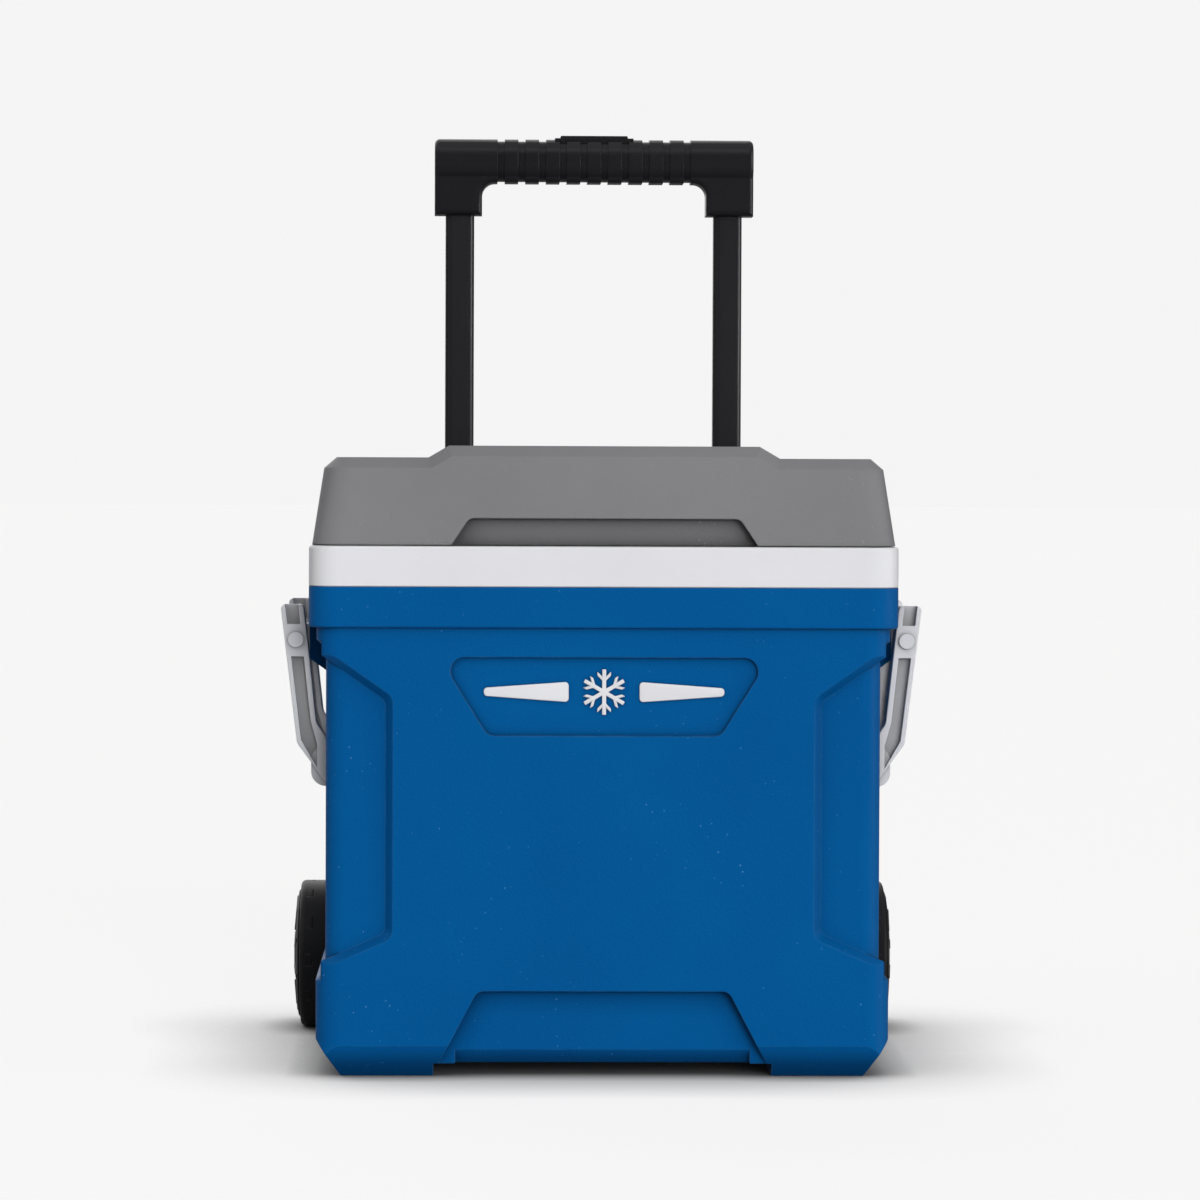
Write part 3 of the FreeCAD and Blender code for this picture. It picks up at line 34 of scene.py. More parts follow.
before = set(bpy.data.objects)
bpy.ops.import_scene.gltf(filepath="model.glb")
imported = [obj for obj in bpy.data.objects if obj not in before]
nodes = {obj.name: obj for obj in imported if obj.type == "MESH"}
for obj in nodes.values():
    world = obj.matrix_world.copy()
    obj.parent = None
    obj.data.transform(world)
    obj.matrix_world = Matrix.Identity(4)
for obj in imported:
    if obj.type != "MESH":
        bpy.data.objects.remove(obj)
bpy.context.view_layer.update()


# ---- The tub's outer shell ----
# A blow-moulded skin of blue polyethylene with a fine pebbled grain. It carries a raised front
# shield between sunken corner columns, a rim band, an arch between two feet and two wheel wells.

MM = 0.001


def sockets(tree, way, listed):
    """Adds named inputs or outputs to a node group: each name has a kind and a first value."""
    for name, kind, first in listed:
        socket = tree.interface.new_socket(name=name, in_out=way, socket_type="NodeSocket" + kind)
        if first is not None:
            socket.default_value = first


def node(tree, kind, settings=None, values=None, links=None):
    """Adds one node, with its settings, its sockets' values and the outputs that feed it."""
    made = tree.nodes.new(kind)
    for name, value in (settings or {}).items():
        setattr(made, name, value)
    for name, value in (values or {}).items():
        made.inputs[name].default_value = value
    for name, source in (links or {}).items():
        tree.links.new(source, made.inputs[name])
    return made


def shader_group(name, inputs, outputs):
    """A shader node group, with its inputs' outputs and its output node."""
    tree = bpy.data.node_groups.new(name, "ShaderNodeTree")
    sockets(tree, "INPUT", inputs)
    sockets(tree, "OUTPUT", outputs)
    return tree, tree.nodes.new("NodeGroupInput").outputs, tree.nodes.new("NodeGroupOutput")


def sums(tree, operation, first, second, third=None):
    """One Math node; each operand is a number or an output."""
    made = tree.nodes.new("ShaderNodeMath")
    made.operation = operation
    for place, operand in enumerate((first, second, third)):
        if operand is None:
            continue
        if isinstance(operand, (int, float)):
            made.inputs[place].default_value = operand
        else:
            tree.links.new(operand, made.inputs[place])
    return made.outputs[0]


def ramp(tree, source, low, high, to_low=0.0, to_high=1.0):
    """Maps a value from one range to another, and holds it there."""
    return node(tree, "ShaderNodeMapRange",
                values={"From Min": low, "From Max": high, "To Min": to_low, "To Max": to_high},
                links={"Value": source}).outputs["Result"]


def blended(tree, share, first, second):
    """Mixes two colours; each is a tuple or an output."""
    made = tree.nodes.new("ShaderNodeMix")
    made.data_type = "RGBA"
    tree.links.new(share, made.inputs[0])
    for place, colour in ((6, first), (7, second)):
        if isinstance(colour, tuple):
            made.inputs[place].default_value = (*colour, 1.0)
        else:
            tree.links.new(colour, made.inputs[place])
    return made.outputs[2]


def grain_group():
    """The tool's etched pebble grain, the slow drift of the pigment, and pale flecks of dust."""
    tree, given, out = shader_group(
        "Moulded grain",
        [("Place", "Vector", None), ("Pebble", "Float", 1.2 * MM), ("Flecks", "Float", 0.5)],
        [("Height", "Float", None), ("Drift", "Float", None), ("Fleck", "Float", None)])
    size = sums(tree, "DIVIDE", 1.0, given["Pebble"])
    pebbles = node(tree, "ShaderNodeTexVoronoi", {"feature": "SMOOTH_F1"}, {"Smoothness": 0.6},
                   {"Vector": given["Place"], "Scale": size})
    ripple = node(tree, "ShaderNodeTexNoise", None, {"Scale": 210.0, "Detail": 3.0},
                  {"Vector": given["Place"]})
    drift = node(tree, "ShaderNodeTexNoise", None, {"Scale": 8.0, "Detail": 4.0, "Roughness": 0.55},
                 {"Vector": given["Place"]})
    patches = node(tree, "ShaderNodeTexNoise", None, {"Scale": 26.0, "Detail": 2.0},
                   {"Vector": given["Place"]})
    dots = node(tree, "ShaderNodeTexVoronoi", {"feature": "F1"}, {"Scale": 170.0},
                {"Vector": given["Place"]})
    ripple_share = 0.45
    height = sums(tree, "MULTIPLY_ADD", ripple.outputs["Fac"], ripple_share,
                  sums(tree, "SUBTRACT", 1.0, pebbles.outputs["Distance"]))
    dot = ramp(tree, dots.outputs["Distance"], low=0.05, high=0.12, to_low=1.0, to_high=0.0)
    where = ramp(tree, patches.outputs["Fac"], low=0.48, high=0.72)
    tree.links.new(height, out.inputs["Height"])
    tree.links.new(drift.outputs["Fac"], out.inputs["Drift"])
    tree.links.new(sums(tree, "MULTIPLY", sums(tree, "MULTIPLY", dot, where), given["Flecks"]),
                   out.inputs["Fleck"])
    return tree


def edge_group():
    """The rounded corner that every moulded edge has, and where hands and floors rub it pale."""
    tree, given, out = shader_group(
        "Rubbed edges",
        [("Place", "Vector", None), ("Radius", "Float", 0.8 * MM), ("Wear", "Float", 0.5)],
        [("Normal", "Vector", None), ("Edge", "Float", None)])
    corner = node(tree, "ShaderNodeBevel", {"samples": 4}, None, {"Radius": given["Radius"]})
    flat = node(tree, "ShaderNodeNewGeometry")
    alike = node(tree, "ShaderNodeVectorMath", {"operation": "DOT_PRODUCT"})
    tree.links.new(corner.outputs[0], alike.inputs[0])
    tree.links.new(flat.outputs["Normal"], alike.inputs[1])
    bent = ramp(tree, alike.outputs["Value"], low=0.995, high=0.82)
    patchy = node(tree, "ShaderNodeTexNoise", None, {"Scale": 95.0, "Detail": 4.0},
                  {"Vector": given["Place"]})
    rubbed = ramp(tree, patchy.outputs["Fac"], low=0.35, high=0.7, to_low=0.3, to_high=1.0)
    tree.links.new(corner.outputs[0], out.inputs["Normal"])
    tree.links.new(sums(tree, "MULTIPLY", sums(tree, "MULTIPLY", bent, rubbed), given["Wear"]),
                   out.inputs["Edge"])
    return tree


def painted_shade_group():
    """Painted shade: darkens creases and recesses, where shade falls, by ambient occlusion."""
    tree, given, out = shader_group(
        "Shaded hollows", [("Reach", "Float", 14 * MM), ("Depth", "Float", 0.6)],
        [("Hollow", "Float", None)])
    shade_mask = node(tree, "ShaderNodeAmbientOcclusion", {"samples": 6}, None, {"Distance": given["Reach"]})
    near = ramp(tree, shade_mask.outputs["AO"], low=0.95, high=0.45)
    tree.links.new(sums(tree, "MULTIPLY", near, given["Depth"]), out.inputs["Hollow"])
    return tree


GRAIN, EDGES, PAINTED_SHADE = grain_group(), edge_group(), painted_shade_group()


def moulded(name, colour, deeper, rubbed, rough, pebble, depth, flecks=0.4, wear=0.35,
            gloss=0.5, radius=0.8 * MM, hollow_shade=0.5, reach=14 * MM):
    """A moulded plastic: its pigment drifts between two shades, its edges are rubbed pale, its
    hollows get painted shade, and its grain has a pebble size and a depth."""
    material = bpy.data.materials.new(name)
    material.use_nodes = True
    tree = material.node_tree
    skin = tree.nodes["Principled BSDF"]
    skin.inputs["Specular IOR Level"].default_value = gloss
    place = tree.nodes.new("ShaderNodeTexCoord").outputs["Object"]
    grain = node(tree, "ShaderNodeGroup", {"node_tree": GRAIN}, {"Pebble": pebble, "Flecks": flecks},
                 {"Place": place}).outputs
    edge = node(tree, "ShaderNodeGroup", {"node_tree": EDGES}, {"Radius": radius, "Wear": wear},
                {"Place": place}).outputs
    shade_mask = node(tree, "ShaderNodeGroup", {"node_tree": PAINTED_SHADE},
                {"Depth": hollow_shade, "Reach": reach}).outputs["Hollow"]
    pigment = blended(tree, ramp(tree, grain["Drift"], low=0.35, high=0.65), deeper, colour)
    # Painted shade: where ambient occlusion finds a hollow, the colour darkens towards a quarter of the
    # deeper pigment.
    painted_shade_share = 0.25
    shaded = blended(tree, shade_mask, pigment, tuple(part * painted_shade_share for part in deeper))
    worn = blended(tree, edge["Edge"], shaded, rubbed)
    tree.links.new(blended(tree, grain["Fleck"], worn, rubbed), skin.inputs["Base Color"])
    spread = 0.05
    sheen = ramp(tree, grain["Drift"], low=0.3, high=0.7, to_low=rough - spread, to_high=rough + spread)
    tree.links.new(sheen, skin.inputs["Roughness"])
    bump = node(tree, "ShaderNodeBump", None, {"Strength": 1.0, "Distance": depth},
                {"Height": grain["Height"], "Normal": edge["Normal"]})
    tree.links.new(bump.outputs["Normal"], skin.inputs["Normal"])
    return material


def finish_nodes(material, *names):
    """Gives CAD nodes their finish."""
    for name in names:
        for slot in nodes[name].material_slots:
            slot.material = material


BLUE, BLUE_DEEP = (0.0001, 0.100, 0.318), (0.0001, 0.089, 0.296)
BLUE_RUBBED = (0.10, 0.30, 0.58)
blue_plastic = moulded("blue_plastic", BLUE, BLUE_DEEP, BLUE_RUBBED, rough=0.46, pebble=1.3 * MM,
                       depth=0.11 * MM, flecks=0.75, wear=0.30, gloss=0.08, radius=1.4 * MM,
                       hollow_shade=0.8, reach=18 * MM)
finish_nodes(blue_plastic, "outer_shell")


# ---- Collar, liner and badge ----
# The collar and the cavity's walls are one white food-safe moulding, pressed into the tub's rim.
# The badge is a plain snowflake between two bars, moulded white and pressed into its recess.

WHITE, WHITE_DEEP, WHITE_RUBBED = (0.80, 0.80, 0.83), (0.76, 0.76, 0.79), (0.9, 0.9, 0.9)
white_plastic = moulded("white_plastic", WHITE, WHITE_DEEP, WHITE_RUBBED, rough=0.40, pebble=0.9 * MM,
                        depth=0.02 * MM, flecks=0.0, wear=0.2, gloss=0.35, radius=0.8 * MM)
finish_nodes(white_plastic, "inner_liner", "lid_liner")

WELD = 0.002 * MM
FLAT_WITHIN, SMOOTH_WITHIN = math.radians(0.6), math.radians(32)


def own_copy(name, piece_name):
    """A merged copy of a CAD node's mesh, as a new object in the same place."""
    mesh = nodes[name].data.copy()
    mesh.name = piece_name
    shape = bmesh.new()
    shape.from_mesh(mesh)
    bmesh.ops.remove_doubles(shape, verts=shape.verts, dist=WELD)
    bmesh.ops.dissolve_limit(shape, angle_limit=FLAT_WITHIN, verts=shape.verts, edges=shape.edges)
    shape.to_mesh(mesh)
    shape.free()
    piece = bpy.data.objects.new(piece_name, mesh)
    bpy.context.scene.collection.objects.link(piece)
    return piece


def settled(piece):
    """Bakes a piece's modifiers into its mesh and shades it smooth up to its corners."""
    view = bpy.context.evaluated_depsgraph_get()
    mesh = bpy.data.meshes.new_from_object(piece.evaluated_get(view), depsgraph=view)
    piece.modifiers.clear()
    old, piece.data = piece.data, mesh
    bpy.data.meshes.remove(old)
    mesh.name = piece.name
    mesh.shade_smooth()
    mesh.set_sharp_from_angle(angle=SMOOTH_WITHIN)
    return piece


badge = own_copy("front_badge", "badge_emblem")
BADGE_ROUND, BADGE_STEPS, BADGE_CORNER = 0.45 * MM, 3, 0.6
corner = badge.modifiers.new("corner", "BEVEL")
corner.width, corner.segments, corner.angle_limit = BADGE_ROUND, BADGE_STEPS, BADGE_CORNER
corner.limit_method = "ANGLE"
corner.use_clamp_overlap = True
settled(badge)
badge.data.materials.clear()
badge.data.materials.append(white_plastic)
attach(badge, "tub")
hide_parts("front_badge")


# ---- Lid and its hinge ----
# The lid is a grey pebbled shell with a raised middle and a finger recess, closed from below by a
# white inner skin. Its leaf turns on a steel pin in the base that is screwed to the collar.

GREY, GREY_DEEP = (0.228, 0.225, 0.236), (0.208, 0.205, 0.214)
GREY_RUBBED = (0.38, 0.38, 0.40)
grey_plastic = moulded("grey_plastic", GREY, GREY_DEEP, GREY_RUBBED, rough=0.5, pebble=1.1 * MM,
                       depth=0.10 * MM, flecks=0.35, wear=0.25, gloss=0.2, radius=1.6 * MM,
                       hollow_shade=1.0, reach=24 * MM)
finish_nodes(grey_plastic, "lid_top", "lid_hinge_leaf", "lid_hinge_base")


# ---- Foam between the skins ----
# Rigid foam poured between the shell and the liner, and between the lid's two skins.

foam = moulded("foam", (0.85, 0.78, 0.55), (0.78, 0.70, 0.46), (0.9, 0.85, 0.7), rough=0.9,
               pebble=0.6 * MM, depth=0.15 * MM, flecks=0.0, wear=0.0, gloss=0.1)
finish_nodes(foam, "body_foam", "lid_foam")


# ---- Bail handles ----
# Two white bails, each an I-section arm at either end of a grip, turn on moulded pins in brackets
# that are screwed to the pads under the rim.

bail_plastic = moulded("bail_plastic", (0.72, 0.72, 0.74), (0.68, 0.68, 0.70), WHITE_RUBBED,
                       rough=0.42, pebble=0.9 * MM, depth=0.03 * MM, flecks=0.0, wear=0.2, gloss=0.35,
                       hollow_shade=0.75)
finish_nodes(bail_plastic, "left_bail", "right_bail", "left_front_pivot_bracket",
             "left_rear_pivot_bracket", "right_front_pivot_bracket", "right_rear_pivot_bracket",
             "left_pivot_pins", "right_pivot_pins")


# ---- Black mouldings ----
# Glass-filled nylon and polypropylene: the carrier, the brackets, the guides' bushes, the release
# button and its frame, and the wheels' hubs and caps. The grip is a softer, grained moulding.

black_plastic = moulded("black_plastic", (0.0072, 0.0068, 0.0082), (0.0058, 0.0055, 0.0068),
                        (0.05, 0.05, 0.055), rough=0.42, pebble=0.8 * MM, depth=0.03 * MM,
                        flecks=0.15, wear=0.3, gloss=0.4)
finish_nodes(black_plastic, "upper_tube_bracket", "axle_carrier", "left_guide_bush",
             "right_guide_bush", "push_button", "button_bezel", "left_hub", "right_hub")
grip_plastic = moulded("grip_plastic", (0.0075, 0.0068, 0.0095), (0.006, 0.0055, 0.0078),
                       (0.06, 0.06, 0.07), rough=0.38, pebble=0.9 * MM, depth=0.05 * MM,
                       flecks=0.35, wear=0.35, gloss=0.45, radius=0.7 * MM)
finish_nodes(grip_plastic, "grip_front_half", "grip_rear_half")
nylon = moulded("nylon", (0.78, 0.76, 0.70), (0.72, 0.70, 0.64), (0.9, 0.9, 0.88), rough=0.35,
                pebble=0.7 * MM, depth=0.02 * MM, flecks=0.0, wear=0.1)
finish_nodes(nylon, "left_wheel_bush", "right_wheel_bush", "left_lock_housing", "right_lock_housing")
tyre_rubber = moulded("tyre_rubber", (0.0095, 0.009, 0.0105), (0.007, 0.0068, 0.008),
                      (0.09, 0.088, 0.085), rough=0.5, pebble=1.0 * MM, depth=0.05 * MM,
                      flecks=0.2, wear=0.5, gloss=0.3)


# ---- Metal parts ----
# The handle's tubes are drawn aluminium under a satin black coat. The axle, pins, rods, spring and
# clips are bright steel, and the screws are blackened steel.

LINES_ACROSS, LINES_ALONG = 1500.0, 12.0


def drawn_metal(name, colour, deeper, rubbed, rough, metal, along, wear=0.3):
    """A metal drawn or turned along one axis: fine lines run that way, and bare edges are rubbed."""
    material = bpy.data.materials.new(name)
    material.use_nodes = True
    tree = material.node_tree
    skin = tree.nodes["Principled BSDF"]
    skin.inputs["Metallic"].default_value = metal
    place = tree.nodes.new("ShaderNodeTexCoord").outputs["Object"]
    stretch = [LINES_ACROSS] * 3
    stretch["xyz".index(along)] = LINES_ALONG
    lines = node(tree, "ShaderNodeTexNoise", None, {"Scale": 1.0, "Detail": 3.0}, {
        "Vector": node(tree, "ShaderNodeMapping", None, {"Scale": stretch},
                       {"Vector": place}).outputs[0]}).outputs["Fac"]
    drift = node(tree, "ShaderNodeTexNoise", None, {"Scale": 14.0, "Detail": 3.0},
                 {"Vector": place}).outputs["Fac"]
    edge = node(tree, "ShaderNodeGroup", {"node_tree": EDGES}, {"Radius": 0.4 * MM, "Wear": wear},
                {"Place": place}).outputs
    tone = blended(tree, ramp(tree, drift, low=0.35, high=0.65), deeper, colour)
    tree.links.new(blended(tree, edge["Edge"], tone, rubbed), skin.inputs["Base Color"])
    spread = 0.06
    sheen = ramp(tree, lines, low=0.3, high=0.7, to_low=rough - spread, to_high=rough + spread)
    tree.links.new(sheen, skin.inputs["Roughness"])
    bump = node(tree, "ShaderNodeBump", None, {"Strength": 0.5, "Distance": 0.01 * MM},
                {"Height": lines, "Normal": edge["Normal"]})
    tree.links.new(bump.outputs["Normal"], skin.inputs["Normal"])
    return material


black_tube = drawn_metal("black_tube", (0.012, 0.0115, 0.014), (0.010, 0.0095, 0.012),
                         (0.10, 0.10, 0.11), rough=0.36, metal=0.0, along="z")
finish_nodes(black_tube, "left_guide_tube", "right_guide_tube", "left_inner_tube", "right_inner_tube")
steel = drawn_metal("steel", (0.62, 0.62, 0.64), (0.52, 0.52, 0.54), (0.8, 0.8, 0.8), rough=0.3,
                    metal=1.0, along="x")
finish_nodes(steel, "axle", "axle_washers", "axle_clips", "hinge_pin", "left_release_rod",
             "right_release_rod", "release_yoke", "left_lock_pin", "right_lock_pin", "button_spring")
screw_steel = drawn_metal("screw_steel", (0.16, 0.16, 0.17), (0.10, 0.10, 0.11), (0.5, 0.5, 0.52),
                          rough=0.35, metal=1.0, along="z")


# ---- Wheels ----
# A hard rubber tyre on a black hub, closed by a bulged cap whose twelve clips lock in pockets near
# the tyre's outer shoulder. Each wheel turns on a nylon bush on the steel axle.

def geometry_tree(name, inputs):
    """A Geometry Nodes tree with a mesh in, a mesh out and named inputs for its sizes."""
    tree = bpy.data.node_groups.new(name, "GeometryNodeTree")
    sockets(tree, "INPUT", [("Geometry", "Geometry", None)] + inputs)
    sockets(tree, "OUTPUT", [("Geometry", "Geometry", None)])
    return tree, tree.nodes.new("NodeGroupInput").outputs, tree.nodes.new("NodeGroupOutput")


def grown(piece, tree, values):
    """Runs a tree on a piece with the given input values, and keeps the result as its mesh."""
    modifier = piece.modifiers.new(tree.name, "NODES")
    modifier.node_group = tree
    for item in tree.interface.items_tree:
        if item.in_out == "INPUT" and item.name in values:
            modifier[item.identifier] = values[item.name]
    return settled(piece)


def vector(tree, x, y, z):
    """A vector from three numbers or outputs."""
    made = tree.nodes.new("ShaderNodeCombineXYZ")
    for place, part in enumerate((x, y, z)):
        if isinstance(part, (int, float)):
            made.inputs[place].default_value = part
        else:
            tree.links.new(part, made.inputs[place])
    return made.outputs[0]


def block(tree, size, middle):
    """A box of a size about a middle."""
    cube = node(tree, "GeometryNodeMeshCube", None, None, {"Size": size})
    return node(tree, "GeometryNodeTransform", None, None,
                {"Geometry": cube.outputs["Mesh"], "Translation": middle}).outputs[0]


def joined(tree, *parts):
    """Several meshes as one."""
    made = tree.nodes.new("GeometryNodeJoinGeometry")
    for part in parts:
        tree.links.new(part, made.inputs[0])
    return made.outputs[0]


def finished(tree, geometry, given, out):
    """Ends a tree: its instances become real and take their finish."""
    solid = node(tree, "GeometryNodeRealizeInstances", None, None, {"Geometry": geometry})
    done = node(tree, "GeometryNodeSetMaterial", None, None,
                {"Geometry": solid.outputs[0], "Material": given["Finish"]})
    tree.links.new(done.outputs[0], out.inputs[0])
    return tree


def round_the_axle(tree, given, part):
    """Repeats a part round the axle. The part's x points outwards and its z along the axle."""
    ring = node(tree, "GeometryNodeMeshCircle", None, None,
                {"Vertices": given["Count"], "Radius": given["Ring Radius"]}).outputs["Mesh"]
    place = tree.nodes.new("GeometryNodeInputPosition").outputs[0]
    aim = node(tree, "FunctionNodeAlignRotationToVector", {"axis": "X", "pivot_axis": "Z"}, None,
               {"Vector": place}).outputs[0]
    many = node(tree, "GeometryNodeInstanceOnPoints", None, None,
                {"Points": ring, "Instance": part, "Rotation": aim}).outputs[0]
    solid = node(tree, "GeometryNodeRealizeInstances", None, None, {"Geometry": many}).outputs[0]
    return node(tree, "GeometryNodeTransform", None, None,
                {"Geometry": solid, "Translation": given["Centre"],
                 "Rotation": vector(tree, 0.0, given["Turn"], 0.0)}).outputs[0]


RING_INPUTS = [("Count", "Int", 12), ("Ring Radius", "Float", 0.05), ("Centre", "Vector", None),
               ("Turn", "Float", 0.0), ("Finish", "Material", None)]


def pocket_tree():
    """Cuts a U-shaped groove round each clip in the tyre's tread."""
    tree, given, out = geometry_tree("Clip pockets", RING_INPUTS + [
        ("Clip Wide", "Float", 8 * MM), ("Clip Long", "Float", 5 * MM), ("Groove", "Float", 0.7 * MM),
        ("Deep", "Float", 1.6 * MM)])
    half = sums(tree, "MULTIPLY", given["Clip Wide"], 0.5)
    side = vector(tree, given["Deep"], given["Groove"], given["Clip Long"])
    end = vector(tree, given["Deep"], given["Clip Wide"], given["Groove"])
    back = sums(tree, "MULTIPLY", given["Clip Long"], -0.5)
    cutter = joined(tree, block(tree, side, vector(tree, 0.0, half, 0.0)),
                    block(tree, side, vector(tree, 0.0, sums(tree, "MULTIPLY", half, -1.0), 0.0)),
                    block(tree, end, vector(tree, 0.0, 0.0, back)))
    cutters = round_the_axle(tree, given, cutter)
    cut = node(tree, "GeometryNodeMeshBoolean", {"operation": "DIFFERENCE", "solver": "FLOAT"})
    tree.links.new(given["Geometry"], cut.inputs["Mesh 1"])
    tree.links.new(cutters, cut.inputs["Mesh 2"])
    return finished(tree, cut.outputs["Mesh"], given, out)


def rib_tree():
    """Sets tapered ribs round the face of a wheel cap."""
    tree, given, out = geometry_tree("Cap ribs", RING_INPUTS + [
        ("Rib Long", "Float", 18 * MM), ("Rib Wide", "Float", 3 * MM), ("Rib Tall", "Float", 2 * MM),
        ("Lean", "Float", 0.0)])
    bar = node(tree, "GeometryNodeMeshCube", None, None,
               {"Size": vector(tree, given["Rib Long"], given["Rib Wide"], given["Rib Tall"])})
    tilted = node(tree, "GeometryNodeTransform", None, None,
                  {"Geometry": bar.outputs["Mesh"], "Rotation": vector(tree, 0.0, given["Lean"], 0.0)})
    ribs = round_the_axle(tree, given, tilted.outputs[0])
    return finished(tree, joined(tree, given["Geometry"], ribs), given, out)


def rounded_outline(corners, steps=5):
    """Rounds the corners of an outline: each is (x, distance from the axle, fillet)."""
    points = []
    for number, (x, r, fillet) in enumerate(corners):
        here = Vector((x, r))
        before = Vector(corners[number - 1][:2])
        after = Vector(corners[(number + 1) % len(corners)][:2])
        if not fillet:
            points.append(here)
            continue
        towards, away = (before - here).normalized(), (after - here).normalized()
        reach = fillet / math.tan(towards.angle(away) / 2)
        start, end = here + towards * reach, here + away * reach
        for step in range(steps + 1):
            t = step / steps
            points.append(start * (1 - t) ** 2 + here * 2 * t * (1 - t) + end * t ** 2)
    return points


def turned(name, outline, centre, steps=120):
    """A closed outline of (x, radius) points turned round the axle, as a new object."""
    verts, faces, count = [], [], len(outline)
    for step in range(steps):
        angle = 2 * math.pi * step / steps
        for x, r in outline:
            verts.append((x, centre.y + r * math.cos(angle), centre.z + r * math.sin(angle)))
    for step in range(steps):
        after = (step + 1) % steps
        for place in range(count):
            nxt = (place + 1) % count
            faces.append((step * count + place, step * count + nxt, after * count + nxt,
                          after * count + place))
    shape = bmesh.new()
    points = [shape.verts.new(v) for v in verts]
    for face in faces:
        shape.faces.new([points[i] for i in face])
    bmesh.ops.remove_doubles(shape, verts=shape.verts, dist=1e-7)
    bmesh.ops.recalc_face_normals(shape, faces=shape.faces)
    mesh = bpy.data.meshes.new(name)
    shape.to_mesh(mesh)
    shape.free()
    piece = bpy.data.objects.new(name, mesh)
    bpy.context.scene.collection.objects.link(piece)
    return piece


CLIPS, CLIP_IN = 12, 6.5 * MM
TYRE_BORE, TYRE_INNER_ROUND, SHOULDER = 41.5 * MM, 2.5 * MM, 4.0 * MM
CAP_BORE, CAP_LIP_ROUND, CAP_BORE_RISE = 6 * MM, 0.6 * MM, 0.6
# Each corner of the cap's face: how far up its bulge, how far out to its rim, and its fillet.
CAP_FACE = [(0.30, 1.00, 2 * MM), (0.62, 0.80, 3 * MM), (0.78, 0.52, 0), (0.55, 0.47, 0.5 * MM),
            (0.55, 0.40, 0.5 * MM), (1.00, 0.34, 1 * MM), (1.00, 0.16, 0.6 * MM)]
RIBS, RIB_WIDE, RIB_TALL, RIB_LEAN = 10, 2.6 * MM, 2.4 * MM, 0.09
RIB_OUT, RIB_UP, RIB_LONG = 0.70, 0.52, 0.40
pockets, ribs = pocket_tree(), rib_tree()
for side, out_way in (("left", -1), ("right", 1)):
    low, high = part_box(side + "_tyre")
    centre, radius = (low + high) / 2, (high.z - low.z) / 2
    inner, outer = (low.x, high.x) if out_way > 0 else (high.x, low.x)
    tread = [(inner, TYRE_BORE, 0), (inner, radius, TYRE_INNER_ROUND), (outer, radius, SHOULDER),
             (outer, TYRE_BORE, 0)]
    tyre = turned(side + "_tyre_tread", rounded_outline(tread), centre)
    grown(tyre, pockets, {
        "Count": CLIPS, "Ring Radius": radius, "Turn": out_way * math.pi / 2, "Finish": tyre_rubber,
        "Centre": (outer - out_way * CLIP_IN, centre.y, centre.z)})
    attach(tyre, side + "_wheel")
    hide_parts(side + "_tyre")

    low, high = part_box(side + "_wheel_cap")
    cap_radius = (high.z - low.z) / 2
    foot, top = (low.x, high.x) if out_way > 0 else (high.x, low.x)
    rise = top - foot
    dome = [(foot, CAP_BORE, 0), (foot, cap_radius, CAP_LIP_ROUND)]
    dome += [(foot + rise * up, cap_radius * out, fillet) for up, out, fillet in CAP_FACE]
    dome += [(foot + rise * CAP_BORE_RISE, CAP_BORE, 0)]
    cap = turned(side + "_cap_dome", rounded_outline(dome), centre)
    grown(cap, ribs, {
        "Count": RIBS, "Ring Radius": cap_radius * RIB_OUT, "Turn": out_way * math.pi / 2,
        "Centre": (foot + rise * RIB_UP, centre.y, centre.z), "Finish": black_plastic,
        "Rib Long": cap_radius * RIB_LONG, "Rib Wide": RIB_WIDE, "Rib Tall": RIB_TALL,
        "Lean": RIB_LEAN})
    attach(cap, side + "_wheel")
    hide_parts(side + "_wheel_cap")


# ---- Screws ----
# Blackened steel pan-head screws with a cross recess hold the hinge, the brackets, the carrier and
# the grip's halves. Each is found from the solid that stands for it.

END_NEAR, HEAD_TALL = 0.1 * MM, 2 * MM
HEAD_DOME, RECESS_NARROW = 0.45, 0.22


def separate_solids(name):
    """The corners of each separate solid in a CAD node."""
    shape = bmesh.new()
    shape.from_mesh(nodes[name].data)
    bmesh.ops.remove_doubles(shape, verts=shape.verts, dist=WELD)
    waiting, solids = set(shape.verts), []
    for first in shape.verts:
        if first not in waiting:
            continue
        waiting.discard(first)
        group, front = [], [first]
        while front:
            here = front.pop()
            group.append(here.co.copy())
            for link in here.link_edges:
                other = link.other_vert(here)
                if other in waiting:
                    waiting.discard(other)
                    front.append(other)
        solids.append(group)
    shape.free()
    return solids


def head_seat(corners):
    """The middle of a screw's head face, the way it faces, and the screw's length."""
    low = Vector([min(c[k] for c in corners) for k in range(3)])
    high = Vector([max(c[k] for c in corners) for k in range(3)])
    along = max(range(3), key=lambda k: high[k] - low[k])
    middle, across = (low + high) / 2, (along + 1) % 3
    reach = {end: max(abs(c[across] - middle[across]) for c in corners if abs(c[along] - end) < END_NEAR)
             for end in (low[along], high[along])}
    end = max(reach, key=reach.get)
    middle[along] = end
    way = Vector((0, 0, 0))
    way[along] = 1 if end == high[along] else -1
    return middle, way, high[along] - low[along]


